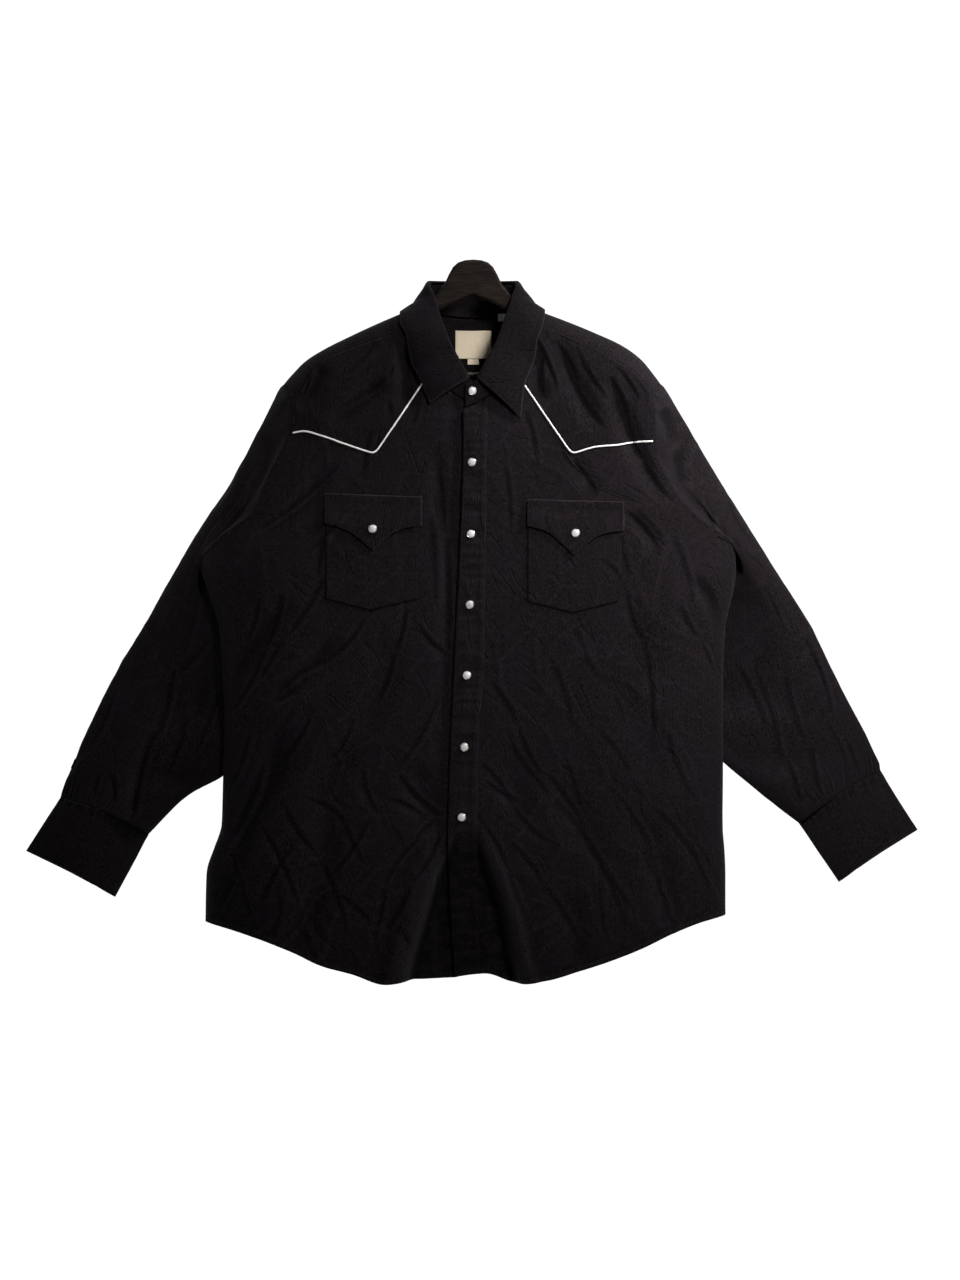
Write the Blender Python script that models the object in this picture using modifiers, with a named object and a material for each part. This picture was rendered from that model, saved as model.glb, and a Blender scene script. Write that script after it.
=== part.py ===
"""Button-up western shirt hanging on a plain wooden hanger. Blender script, metres, +Z up."""

import math

import bmesh
import bpy
import numpy as np

# ---------------------------------------------------------------- driving sizes (mm)
CLOTH = 1.2  # wall of one layer of shirt cloth
CUFF_WALL = 1.6  # cuffs, collar and stand are interlined
SEAM = 0.25  # each piece stops this short of its seam line
SIDE_SEAM = 0.5
LABEL_WALL = 0.8
LIFT = 0.6  # clear space under a piece that lies on a panel
UNDERLAP = 2.4  # how far the covered front edge sits behind the other
SIDE_REACH = 120.0  # width over which the body rounds into its side seam
RIDGE_ROLL = 45.0  # height over which the body rounds over the shoulder
RIDGE_PATH = 56.0  # length of cloth in that round
YOKE_SEAM_Z = -200.0
SNAP_RADIUS = 5.3
SNAP_HEIGHT = 2.8
PIPING_RADIUS = 1.5
HANGER_THICKNESS = 13.0
BAR_RADIUS = 2.6

# Every x in a table is a distance from the middle: "right" is the wearer's right (-X).
RIGHT, LEFT = -1, 1


def table(columns, rows):
    """A dictionary of arrays, one for each named column."""
    names = columns.split()
    return {name: np.array([row[i] for row in rows], float) for i, name in enumerate(names)}


# Height of the shoulder line against distance from the middle.
RIDGE = table(
    "x right left",
    (
        (0, -44, -44),
        (40, -49, -49),
        (70, -58, -58),
        (89, -65.5, -65),
        (118, -78, -76),
        (148, -92, -88.5),
        (177, -106.5, -102),
        (200, -121, -118.5),
        (214, -135, -135),
        (226, -149, -151.5),
        (243, -176, -178),
        (262, -210, -208),
        (330, -330, -322),
    ),
)

# Distance of the side seam from the middle; above the armpit it is where the body would end.
SIDES = table(
    "z right left",
    (
        (-861, 319, 301),
        (-789, 319, 301),
        (-735, 318, 301),
        (-706, 311, 300),
        (-678, 300, 297.5),
        (-615, 298, 298),
        (-550, 296, 298),
        (-506, 298, 298),
        (-441, 302.5, 300.5),
        (-392, 317, 311),
        (-366, 325, 314),
        (-345, 321, 312),
        (-320, 309, 306),
        (-300, 298, 299),
        (-264, 284, 284),
        (-209, 268, 266),
        (-149, 266, 264),
        (-40, 262, 262),
    ),
)

# Half depths of the body, and where its side seam lies from front to back.
DEPTHS = table(
    "z front back seam",
    (
        (-861, 44, 30, -6),
        (-650, 47, 31, -7),
        (-450, 49, 32, -8),
        (-300, 46, 33, -6),
        (-200, 41, 31, -2),
        (-150, 36, 30, 0),
        (-100, 29, 28, 0),
        (-40, 26, 27, 0),
    ),
)

# Folds: a line from (x1, z1) to (x2, z2) bowed sideways; depth goes into the cloth, negative out.
FRONT_FOLDS = table(
    "x1 z1 x2 z2 bow width depth",
    (
        (-172, -118, -212, -182, 4, 9, 6),
        (-100, -135, -172, -202, 4, 12, 5),
        (-84, -92, -76, -190, 3, 10, 5),
        (-156, -236, -270, -345, 10, 12, 5),
        (-200, -400, -312, -575, -14, 16, 7),
        (-150, -440, -255, -535, 8, 14, 5),
        (-214, -545, -290, -700, 12, 18, 9),
        (-130, -560, -190, -690, -6, 20, 5),
        (-95, -430, -140, -590, 8, 18, 4),
        (-45, -215, -40, -330, 3, 10, 3),
        (-60, -590, -55, -690, 4, 16, 4),
        (-160, -640, -215, -850, 6, 20, 7),
        (-250, -640, -300, -790, -4, 15, 7),
        (75, -100, 86, -182, -4, 9, 6),
        (96, -85, 160, -215, -6, 12, 6),
        (158, -132, 232, -300, -6, 11, 8),
        (118, -235, 150, -290, 0, 10, 3),
        (178, -300, 228, -355, 4, 10, 4),
        (196, -420, 205, -520, 0, 22, 5),
        (150, -470, 235, -640, 10, 22, 4),
        (90, -600, 150, -740, 6, 20, 4),
        (40, -560, 62, -690, 4, 18, 4),
        (190, -640, 250, -800, 6, 20, 5),
        (110, -740, 130, -855, 4, 18, 5),
    ),
)
BACK_FOLDS = table(
    "x1 z1 x2 z2 bow width depth",
    (
        (-205, -210, -150, -470, 14, 20, 6),
        (205, -210, 160, -430, -12, 20, 6),
        (-140, -230, -90, -560, 8, 24, 4),
        (120, -230, 80, -620, -10, 24, 4),
        (-250, -420, -200, -700, 10, 22, 7),
        (250, -400, 195, -680, -12, 22, 6),
        (-90, -560, -120, -860, -6, 24, 6),
        (30, -500, 10, -860, 8, 26, 6),
        (140, -560, 150, -860, -8, 24, 6),
        (-210, -640, -240, -850, 6, 20, 6),
        (235, -640, 240, -840, -4, 20, 6),
        (-60, -150, -110, -210, 4, 14, 3),
        (60, -150, 100, -215, -4, 14, 3),
    ),
)

# Below the last snap both fronts fold forward and leave a sunk middle between these edges.
HOLLOW = table(
    "z right left depth",
    (
        (-861, -82, 57, 15),
        (-824, -73, 48, 15),
        (-780, -60, 39, 13),
        (-741, -50, 27, 9),
        (-700, -32, 13, 4),
        (-670, -24, 8, 0),
    ),
)

# Lower edge of the two fronts against x, and how much higher the back's edge is.
HEM = table(
    "x z",
    (
        (-319, -789),
        (-287, -797),
        (-249, -809),
        (-211, -824),
        (-173, -841),
        (-134, -851),
        (-101, -861),
        (-77, -857),
        (-39, -856),
        (-1, -851),
        (18, -850),
        (37, -854),
        (56, -861),
        (75, -859),
        (113, -849),
        (151, -837),
        (189, -823),
        (227, -805),
        (265, -790),
        (301, -781),
    ),
)
BACK_HEM_RISE = 8.0

# Neckline, from the middle of the front round to the middle of the back.
NECK_FRONT = table(
    "x z",
    (
        (-11, -181.5),
        (0, -177),
        (15, -168.5),
        (33, -156.5),
        (50, -136.6),
        (59, -121),
        (65, -104),
        (68.3, -84),
    ),
)
NECK_BACK = table(
    "x z face",
    (
        (68.3, -84, 1),
        (70.2, -69, 1),
        (70.5, -58.2, 0),
        (64.5, -60, -1),
        (45, -64, -1),
        (23, -67, -1),
        (0, -68, -1),
    ),
)

# Armhole, from the shoulder's top down the front to the armpit and up the back.
# face is 1 on the front, -1 on the back, 0 where the seam crosses the shoulder or side line.
ARMHOLE = table(
    "right_x right_z left_x left_z face",
    (
        (226, -149, 224, -149, 0),
        (218, -158.5, 216, -157.5, 1),
        (212, -170, 209, -166, 1),
        (211.5, -190, 212, -193, 1),
        (213, -209, 212.5, -219, 1),
        (223, -233, 212.5, -236, 1),
        (236, -258, 222, -257, 1),
        (245, -282, 236, -282, 1),
        (256, -305, 255, -305, 1),
        (275, -320, 274, -320, 1),
        (299, -338, 295, -334, 1),
        (325, -366, 312, -345, 0),
        (301, -342, 292, -327, -1),
        (280, -320, 273, -308, -1),
        (262, -296, 257, -286, -1),
        (247, -268, 244, -262, -1),
        (232, -236, 231, -234, -1),
        (221, -200, 220, -200, -1),
        (217, -179, 216, -179, -1),
        (218, -164, 217, -164, -1),
        (222, -154, 220.5, -154.5, -1),
    ),
)
SHOULDER, FORWARD, PIPED, ARMPIT, YOKED = 0, 2, 4, 11, 17

# Seam between back yoke and front yoke, from the neck to the armhole.
FORWARD_SEAM = table(
    "right_x right_z left_x left_z",
    (
        (68.3, -84, 68.3, -84),
        (82, -88, 82, -86.5),
        (97, -92, 97, -91),
        (117, -98, 119, -101),
        (137, -104.5, 142, -111),
        (160, -113.5, 165, -125),
        (184, -125, 190, -141),
        (212, -170, 209, -166),
    ),
)
# Piped seam between front yoke and front, from the neck by the point to the armhole.
PIPED_SEAM = table(
    "right_x right_z left_x left_z",
    (
        (50, -136.6, 50, -136.6),
        (66, -160.2, 67, -162),
        (91, -197.3, 92, -198.5),
        (116, -234.4, 116.6, -234.3),
        (147, -224, 146, -225.7),
        (178, -213, 171.4, -223.6),
        (200, -207, 193, -219.5),
        (213, -209, 212.5, -219),
    ),
)

# Sleeve sections from armhole to cuff. o: fold on the outer line; f: front face; e: where the
# sleeve passes behind the body; u: inner fold; the last columns say how deep each point lies.
SLEEVE_COLUMNS = "o_x o_z o_y f_x f_z f_y e_x e_z e_gap u_x u_z u_gap b_y"
SLEEVES = {
    RIGHT: table(
        SLEEVE_COLUMNS,
        (
            (258, -206.5, 6, 252, -268, -25, 336, -369, 3, 277, -334, 9, 38),
            (290, -264, 10, 288, -318, -22, 334, -384, 6, 272, -364, 11, 44),
            (326, -321, 13, 324, -358, -16, 321, -405, 8, 262, -400, 12, 46),
            (358, -378, 14, 346, -406, -12, 302, -428, 8, 253, -440, 12, 46),
            (390, -435, 13, 364, -452, -10, 291, -466, 8, 247, -486, 12, 44),
            (424, -492, 12, 384, -508, -9, 287, -516, 9, 251, -536, 12, 40),
            (453, -549, 10, 405, -566, -9, 297, -572, 9, 266, -582, 12, 36),
            (471, -587, 8, 422, -602, -9, 318, -610, 6, 298, -613, 12, 31),
            (484, -617, 7, 437, -634, -10, 354, -637, -3, 345, -640, 12, 26),
            (493, -643, 5, 447, -655, -12, 397, -680, -4, 390, -685, 14, 20),
        ),
    ),
    LEFT: table(
        SLEEVE_COLUMNS,
        (
            (261, -206.5, 6, 250, -268, -25, 324, -349, 3, 270, -322, 9, 38),
            (295, -264, 10, 288, -312, -22, 323, -363, 6, 267, -352, 11, 44),
            (330, -321, 13, 322, -352, -16, 312, -385, 8, 258, -390, 12, 46),
            (365, -378, 14, 346, -398, -12, 297, -414, 8, 250, -432, 12, 46),
            (400, -435, 13, 368, -446, -10, 289, -454, 8, 246, -477, 12, 44),
            (428, -492, 12, 389, -500, -9, 287, -502, 9, 252, -522, 12, 40),
            (455, -545, 10, 411, -552, -9, 299, -554, 9, 268, -564, 12, 36),
            (468, -569, 8, 426, -580, -9, 318, -590, 6, 298, -596, 12, 31),
            (478, -590, 7, 438, -606, -10, 356, -624, -3, 346, -637, 12, 26),
            (487, -611, 5, 442, -633, -12, 399, -665, -4, 391.5, -672, 14, 20),
        ),
    ),
}
SECTION_KNOTS = {"o": 0, "f": 6, "e": 11, "u": 14, "b": 18}

# Cuffs: the same five points at the seam and at the bottom edge.
CUFF_COLUMNS = "o_x o_z o_y f_x f_z f_y e_x e_z e_y u_x u_z u_y b_y"
CUFFS = {
    RIGHT: table(
        CUFF_COLUMNS,
        (
            (493, -643, 5, 447, -655, -12, 397, -680, -4, 390, -685, 6, 20),
            (514, -675, 4, 464, -692, -12, 417, -718, -5, 410, -723, 6, 18),
            (534, -706, 3, 480, -729, -12, 437, -755, -6, 430, -760, 5, 15),
        ),
    ),
    LEFT: table(
        CUFF_COLUMNS,
        (
            (487, -611, 5, 442, -633, -12, 399, -665, -4, 391.5, -672, 6, 20),
            (509, -646, 4, 461, -671, -12, 422, -701, -5, 415, -707, 6, 18),
            (531, -681, 3, 480, -710, -12, 446, -736, -6, 439, -742, 5, 15),
        ),
    ),
}

# Top edge of the collar stand, where the collar rolls over, from the back to the front.
ROLL_LINE = table(
    "x y z",
    (
        (0, 35, -27),
        (28, 31, -27),
        (46, 19, -28),
        (54, 5, -31),
        (50, -8, -44),
        (42, -23, -70),
        (27, -38, -108),
        (13, -47, -132),
        (4, -51.5, -147),
    ),
)
# Outer edge of the collar, from the back to the point. face as above.
COLLAR_EDGE = table(
    "right_x right_z left_x left_z face",
    (
        (0, -89, 0, -89, -1),
        (30, -88, 30, -88, -1),
        (56, -84, 56, -84, -1),
        (76, -75, 76, -75, -1),
        (87, -64, 86, -64, 0),
        (86, -76, 84, -78, 1),
        (79, -96, 78, -96, 1),
        (70, -120, 70, -122, 1),
        (59.5, -150, 60.5, -152, 1),
        (51, -176, 56, -193, 1),
    ),
)

# Section of the collar where it rolls over the stand: out of the neck, and up from the stand.
COLLAR_ROLL = ((-1.2, 2.8), (0.6, 4.8), (3.6, 4.4), (5.6, 1.4))

# Left and right edges of the front band against height.
BAND = table(
    "z outer inner",
    (
        (-850, -21, 9.5),
        (-684, -29, 5),
        (-573, -26, 7),
        (-487, -22, 13),
        (-204, -11, 17),
        (-181, -11, 18),
    ),
)
SNAPS = table(
    "x z",
    (
        (-1, -244.5),
        (-2.4, -329),
        (-3.6, -412),
        (-7.1, -495.6),
        (-10.1, -580),
        (-13.1, -663),
    ),
)

# Pocket and flap outlines, as distances from the middle.
POCKETS = {
    RIGHT: {"inner": 65, "outer": 174, "top": -296, "corner": -406, "low": -419.5, "low_x": 121},
    LEFT: {"inner": 64, "outer": 171.5, "top": -299, "corner": -409, "low": -422.5, "low_x": 117},
}
FLAPS = {
    RIGHT: table(
        "x top bottom",
        (
            (60, -285, -319),
            (72, -284.6, -320.5),
            (87, -284, -324.5),
            (103, -283.4, -335),
            (118.4, -282.9, -349),
            (134, -282.3, -335),
            (147, -281.9, -326.5),
            (161, -281.4, -320.5),
            (175, -281, -316.5),
        ),
    ),
    LEFT: table(
        "x top bottom",
        (
            (64, -288, -319.5),
            (76, -288.3, -322.5),
            (90, -288.7, -328),
            (104, -289, -340),
            (118.5, -289.4, -354.6),
            (133, -289.8, -341.5),
            (147, -290.2, -332),
            (162, -290.6, -327.5),
            (178, -291, -325.6),
        ),
    ),
}

# Hanger outline against distance from the middle: upper and lower edges.
HANGER = table(
    "x top bottom",
    (
        (0, 0, -42),
        (10, -0.8, -46),
        (18, -3.5, -49.5),
        (24, -9, -52),
        (29, -18, -54.5),
        (34, -29, -57),
        (42, -39, -61),
        (52, -49.5, -66),
        (68, -64.5, -77),
        (89, -71.5, -89),
        (118, -83.5, -103),
        (148, -97, -119),
        (171.9, -109, -131),
        (172.4, -109.3, -144),
        (180, -115, -147),
        (189, -124, -147),
        (194, -132, -146),
    ),
)
BAR_Z = -137.0
BAR_REACH = 171.5

MATERIALS = {
    "cloth": ((0.011, 0.0075, 0.009), 0.85, 0.0),
    "piping": ((0.60, 0.58, 0.56), 0.7, 0.0),
    "label": ((0.62, 0.52, 0.40), 0.8, 0.0),
    "tag": ((0.72, 0.72, 0.70), 0.7, 0.0),
    "pearl": ((0.62, 0.62, 0.62), 0.22, 0.0),
    "wood": ((0.018, 0.011, 0.007), 0.45, 0.0),
    "steel": ((0.45, 0.45, 0.45), 0.3, 1.0),
}


# ---------------------------------------------------------------- curves and surfaces
def through(xs, ys, x):
    """A smooth curve through the rows that never overshoots them."""
    step = np.diff(xs)
    slope = np.diff(ys) / step
    before, after = slope[:-1], slope[1:]
    same = before * after > 0
    middle = np.where(same, 2 * before * after / np.where(same, before + after, 1), 0)
    tangent = np.concatenate([slope[:1], middle, slope[-1:]])
    x = np.clip(x, xs[0], xs[-1])
    i = np.clip(np.searchsorted(xs, x, side="right") - 1, 0, len(xs) - 2)
    t = (x - xs[i]) / step[i]
    rise = (3 * t**2 - 2 * t**3) * (ys[i + 1] - ys[i])
    return ys[i] + rise + step[i] * (
        (t**3 - 2 * t**2 + t) * tangent[i] + (t**3 - t**2) * tangent[i + 1]
    )


def sided(rows, key, column, x, at):
    """A column of a table with one value for each side of the body."""
    names = ("right", "left") if not column else (f"right_{column}", f"left_{column}")
    values = [through(rows[key], rows[name], at) for name in names]
    return np.where(x < 0, values[0], values[1])


def ridge(x):
    return sided(RIDGE, "x", "", x, np.abs(x))


def rim(inward, reach):
    """0 at the edge of a rounded sheet, 1 once it is flat."""
    share = np.clip(inward / reach, 0, 1)
    return np.sqrt(np.clip(1 - (1 - share) ** 2, 0, 1))


def soft_step(value):
    value = np.clip(value, 0, 1)
    return value * value * (3 - 2 * value)


def folds(rows, x, z):
    total = np.zeros(np.broadcast(x, z).shape)
    for x1, z1, x2, z2, bow, width, depth in zip(*rows.values()):
        run, fall = x2 - x1, z2 - z1
        length = math.hypot(run, fall)
        along = ((x - x1) * run + (z - z1) * fall) / length**2
        across = ((z - z1) * run - (x - x1) * fall) / length
        across = across - 4 * bow * along * (1 - along)
        ends = soft_step(along * 4) * soft_step((1 - along) * 4)
        total = total + depth * ends * np.exp(-((across / width) ** 2))
    return total


def hollow(x, z):
    """How far the middle is sunk between the two forward folds at the hem."""
    low = through(HOLLOW["z"], HOLLOW["right"], z)
    high = through(HOLLOW["z"], HOLLOW["left"], z)
    depth = through(HOLLOW["z"], HOLLOW["depth"], z)
    inside = soft_step((x - low + 8) / 20) * soft_step((high - x + 8) / 20)
    lip = np.exp(-(((x - low + 18) / 14) ** 2)) + np.exp(-(((x - high - 18) / 14) ** 2))
    return depth * (inside - 0.4 * lip)


def seam_y(z):
    return through(DEPTHS["z"], DEPTHS["seam"], z)


def body_y(x, z, face):
    """Depth of the outside of the front (face 1) or back (face -1) at x, z."""
    x, z, face = np.broadcast_arrays(np.asarray(x, float), z, face)
    side = sided(SIDES, "z", "", x, z)
    shape = rim(side - np.abs(x), SIDE_REACH) * rim(ridge(x) - z, RIDGE_ROLL)
    near_neck = np.exp(-((x / 72) ** 2)) * soft_step((z + 330) / 130)
    front = through(DEPTHS["z"], DEPTHS["front"], z) + 11 * near_neck
    back = through(DEPTHS["z"], DEPTHS["back"], z) + 13 * near_neck
    fade = soft_step((side - np.abs(x)) / 30) * soft_step((ridge(x) - z) / 30)
    front = front * shape - (folds(FRONT_FOLDS, x, z) + hollow(x, z)) * fade
    back = back * shape - folds(BACK_FOLDS, x, z) * fade
    return seam_y(z) + np.where(face > 0, -front, np.where(face < 0, back, 0))


def body_points(x, z, face):
    x, z = np.broadcast_arrays(np.asarray(x, float), np.asarray(z, float))
    return np.stack([x, body_y(x, z, face), z], -1)


def drop(path):
    """Fall below the shoulder line for a length of cloth measured from it."""
    share = np.clip(np.abs(path) / RIDGE_PATH, 0, 1)
    rounded = RIDGE_ROLL * (1 - np.cos(share * math.pi / 2))
    return rounded + np.maximum(np.abs(path) - RIDGE_PATH, 0)


def path_of(fall):
    share = np.clip(fall / RIDGE_ROLL, 0, 1)
    rounded = RIDGE_PATH * np.arccos(1 - share) * 2 / math.pi
    return rounded + np.maximum(fall - RIDGE_ROLL, 0)


def over_points(x, path):
    """Points on cloth that runs over the shoulder: path is positive down the front."""
    return body_points(x, ridge(x) - drop(path), np.sign(path))


def outward(points, step=0.5):
    """Unit normals of the body at points on its front or back, by small differences."""
    x, y, z = np.moveaxis(points, -1, 0)
    face = np.where(y < seam_y(z), 1, -1)
    path = face * path_of(ridge(x) - z)
    across = over_points(x + step, path) - over_points(x - step, path)
    down = over_points(x, path + step) - over_points(x, path - step)
    normal = np.cross(down, across)
    normal /= np.linalg.norm(normal, axis=-1, keepdims=True)
    return normal


# ---------------------------------------------------------------- patches
def coons(top, bottom, start, end, u, v):
    """A grid filled in between four edges: rows run from top to bottom."""
    u, v = u[None, :, None], v[:, None, None]
    ruled = (1 - v) * top[None] + v * bottom[None] + (1 - u) * start[:, None] + u * end[:, None]
    corners = (1 - u) * (1 - v) * top[0] + u * (1 - v) * top[-1]
    return ruled - corners - (1 - u) * v * bottom[0] - u * v * bottom[-1]


def shares(points):
    """Share of the way along a line at each of its points."""
    steps = np.linalg.norm(np.diff(points, axis=0), axis=1)
    return np.concatenate([[0], np.cumsum(steps)]) / steps.sum()


def halved(points):
    """The same line with a point added in the middle of each stretch."""
    out = np.repeat(points, 2, axis=0)[:-1]
    out[1::2] = (points[:-1] + points[1:]) / 2
    return out


def pulled_in(grid, top=0.0, bottom=0.0, start=0.0, end=0.0):
    """Moves each edge of a grid towards its neighbours, to leave room at a seam."""
    grid = grid.copy()
    edges = ((0, 1, top, 0), (-1, -2, bottom, 0), (0, 1, start, 1), (-1, -2, end, 1))
    for edge, beside, gap, axis in edges:
        if not gap:
            continue
        turned = np.moveaxis(grid, axis, 0)
        way = turned[beside] - turned[edge]
        turned[edge] += gap * way / np.linalg.norm(way, axis=-1, keepdims=True)
    return grid


def armhole(side):
    name = "right" if side == RIGHT else "left"
    x, z = side * ARMHOLE[f"{name}_x"], ARMHOLE[f"{name}_z"].copy()
    z[SHOULDER] = ridge(x[SHOULDER])
    return body_points(x, z, ARMHOLE["face"])


def seam(rows, side):
    name = "right" if side == RIGHT else "left"
    return np.stack([side * rows[f"{name}_x"], rows[f"{name}_z"]], -1)


def flat(points):
    return points[..., [0, 2]]


def side_line(side, top, bottom, count):
    z = np.linspace(top, bottom, count + 1)[1:]
    return np.stack([side * sided(SIDES, "z", "", side * np.ones_like(z), z), z], -1)


SIDE_STEPS = np.array([0, 1.2, 10, 31, 64, 104])  # columns crowd in towards the side seam


def panel_row(start, end, count):
    """x of one row: columns crowd towards the side seam at its end."""
    outer = end - np.sign(end - start) * SIDE_STEPS[::-1]
    return np.concatenate([np.linspace(start, outer[0], count - 5)[:-1], outer])


def panel_plan(top, start, end, waist):
    """x, z of a panel that runs from its middle to one side seam, waist rows down to the armpit."""
    count = len(top)
    low_x = panel_row(start[waist - 1, 0], end[waist - 1, 0], count)
    share = np.linspace(0, 1, count)
    low_z = start[waist - 1, 1] + share**1.5 * (end[waist - 1, 1] - start[waist - 1, 1])
    low = np.stack([low_x, low_z], -1)
    u = np.abs(low_x - low_x[0]) / abs(low_x[-1] - low_x[0])
    v = (end[:waist, 1] - end[0, 1]) / (end[waist - 1, 1] - end[0, 1])
    rows = list(coons(top, low, start[:waist], end[:waist], u, v))
    for row in range(waist, len(end)):
        x = panel_row(start[row, 0], end[row, 0], count)
        fall = (end[row, 1] - end[waist - 1, 1]) / (end[-1, 1] - end[waist - 1, 1])
        z = low_z + fall * (through(HEM["x"], HEM["z"], x) - low_z)
        rows.append(np.stack([x, z], -1))
    return np.array(rows)


def front_grid(side):
    """Points of one front: rows down from the yoke seam, columns from the centre edge out."""
    ring = armhole(side)
    edge_top = BAND["outer"][-1] if side == LEFT else -BAND["outer"][-1] + 2
    neck_x = np.array([edge_top * side, 3.0, 18.0, 34.0])
    neck_z = through(NECK_FRONT["x"], NECK_FRONT["z"], np.array([-11.0, 3, 18, 34]))
    neck = np.stack([side * neck_x, neck_z], -1)
    top = np.concatenate([neck, seam(PIPED_SEAM, side)])
    waist = flat(ring[PIPED : ARMPIT + 1])
    corner_z = HEM["z"][0] if side == RIGHT else HEM["z"][-1]
    end = np.concatenate([waist, side_line(side, waist[-1, 1], corner_z, 14)])
    v = (end[:, 1] - end[0, 1]) / (end[-1, 1] - end[0, 1])
    start_z = top[0, 1] + v * (-848.5 - top[0, 1])
    if side == LEFT:
        start_x = through(BAND["z"], BAND["outer"], start_z)
    else:
        start_x = through(BAND["z"], BAND["inner"], start_z) - 4
    start = np.stack([start_x, start_z], -1)
    start[0] = top[0]
    plan = panel_plan(top, start, end, len(waist))
    grid = body_points(plan[..., 0], plan[..., 1], 1)
    grid[: len(waist), -1] = ring[PIPED : ARMPIT + 1]
    if side == RIGHT:
        edge = through(BAND["z"], BAND["outer"], grid[..., 2])
        covered = soft_step((grid[..., 0] - edge + 26) / 20)
        grid[..., 1] += (UNDERLAP + 2 * soft_step((-660 - grid[..., 2]) / 40)) * covered
    return pulled_in(grid, top=1.8 * SEAM, end=SIDE_SEAM)


def back_grid():
    """Points of the back: rows down from the yoke seam, columns from wearer's right to left."""
    halves = []
    for side in (RIGHT, LEFT):
        ring = armhole(side)[ARMPIT : YOKED + 1][::-1]
        low = HEM["z"][0] if side == RIGHT else HEM["z"][-1]
        end = np.concatenate([flat(ring), side_line(side, ring[-1, 2], low, 12)])
        top_x = np.linspace(0, end[0, 0], 9)
        top = np.stack([top_x, np.full_like(top_x, YOKE_SEAM_Z)], -1)
        v = (end[:, 1] - end[0, 1]) / (end[-1, 1] - end[0, 1])
        start = np.stack([0 * v, YOKE_SEAM_Z + v * (-851 - YOKE_SEAM_Z)], -1)
        plan = panel_plan(top, start, end, len(ring))
        rise = BACK_HEM_RISE * soft_step((-700 - plan[..., 1]) / 120)
        plan[:, :-1, 1] += rise[:, :-1]
        grid = body_points(plan[..., 0], plan[..., 1], -1)
        grid[: len(ring), -1] = ring
        halves.append(grid)
    grid = np.concatenate([halves[0][:, ::-1], halves[1][:, 1:]], axis=1)
    return pulled_in(grid, top=SEAM, start=SIDE_SEAM, end=SIDE_SEAM)


def front_yoke_grid(side):
    """Points of a front yoke: rows down from the shoulder seam, columns from the neck out."""
    ring = halved(armhole(side)[FORWARD : PIPED + 1])
    top, bottom = seam(FORWARD_SEAM, side), seam(PIPED_SEAM, side)
    neck_z = np.linspace(top[0, 1], bottom[0, 1], len(ring))
    neck_x = side * through(-NECK_FRONT["z"][::-1], NECK_FRONT["x"][::-1], -neck_z)
    start = np.stack([neck_x, neck_z], -1)
    v = np.linspace(0, 1, len(ring))
    plan = coons(top, bottom, start, flat(ring), shares(bottom), v)
    grid = body_points(plan[..., 0], plan[..., 1], 1)
    grid[:, -1] = ring
    return pulled_in(grid, top=2 * SEAM, bottom=SEAM, start=SEAM, end=SEAM)


def back_yoke_grid():
    """Points of the back yoke, which runs forward over both shoulders."""
    halves = []
    for side in (RIGHT, LEFT):
        line = seam(FORWARD_SEAM, side)[::-1]
        top = np.stack([line[:, 0], path_of(ridge(line[:, 0]) - line[:, 1])], -1)
        neck_x = side * NECK_BACK["x"][1:]
        neck = np.stack([neck_x, path_of(ridge(neck_x) - NECK_BACK["z"][1:])], -1)
        neck[:, 1] *= NECK_BACK["face"][1:]
        halves.append(np.concatenate([top, neck]))
    top = np.concatenate([halves[0], halves[1][::-1][1:]])
    low = np.array([220, 198, 176, 154, 132, 114, 100, 90, 82, 73, 62, 45, 23, 0], float)
    low_x = np.concatenate([-low, low[::-1][1:]])
    bottom = np.stack([low_x, -path_of(ridge(low_x) - YOKE_SEAM_Z)], -1)
    edges = []
    for side in (RIGHT, LEFT):
        ring = armhole(side)
        over = np.concatenate([ring[: FORWARD + 1][::-1], ring[YOKED:][::-1]])
        way = np.array([1, 1, 0, -1, -1, -1, -1])
        path = path_of(ridge(over[:, 0]) - over[:, 2]) * way
        edges.append((over, np.stack([over[:, 0], path], -1)))
    start, end = edges[0][1], edges[1][1]
    bottom[0], bottom[-1] = start[-1], end[-1]
    fall = np.array([0, 0.09, 0.18, 0.29, 0.44, 0.70, 1])[:, None, None]
    plan = top[None] + fall * (bottom - top)[None]
    u = np.linspace(0, 1, len(top))
    for edge, near in ((start, 1 - u / 0.2), (end, 1 - (1 - u) / 0.2)):
        straight = edge[0] + fall[:, 0] * (edge[-1] - edge[0])
        plan = plan + (edge - straight)[:, None] * (np.clip(near, 0, 1) ** 2)[None, :, None]
    grid = over_points(plan[..., 0], plan[..., 1])
    grid[:, 0], grid[:, -1] = edges[0][0], edges[1][0]
    return pulled_in(grid, top=2 * SEAM, bottom=SEAM, start=SEAM, end=SEAM)


# ---------------------------------------------------------------- sleeves and cuffs
def ring_through(knots, points, at, period):
    """A closed smooth curve through the points, whose places along it are the knots."""
    knots = np.asarray(knots, float)
    count = len(knots)
    places = np.concatenate([knots - period, knots, knots + period])
    values = np.concatenate([points] * 3)
    wide = (places[2:] - places[:-2])[:, None]
    tangent = np.zeros_like(values)
    tangent[1:-1] = (values[2:] - values[:-2]) / wide
    at = np.mod(at, period)
    i = np.searchsorted(places, at, side="right") - 1
    i = np.clip(i, count - 1, 2 * count)
    step = (places[i + 1] - places[i])[:, None]
    t = (at[:, None] - places[i][:, None]) / step
    blend = 3 * t**2 - 2 * t**3
    curve = values[i] * (1 - blend) + values[i + 1] * blend
    return curve + step * (
        (t**3 - 2 * t**2 + t) * tangent[i] + (t**3 - t**2) * tangent[i + 1]
    )


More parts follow.
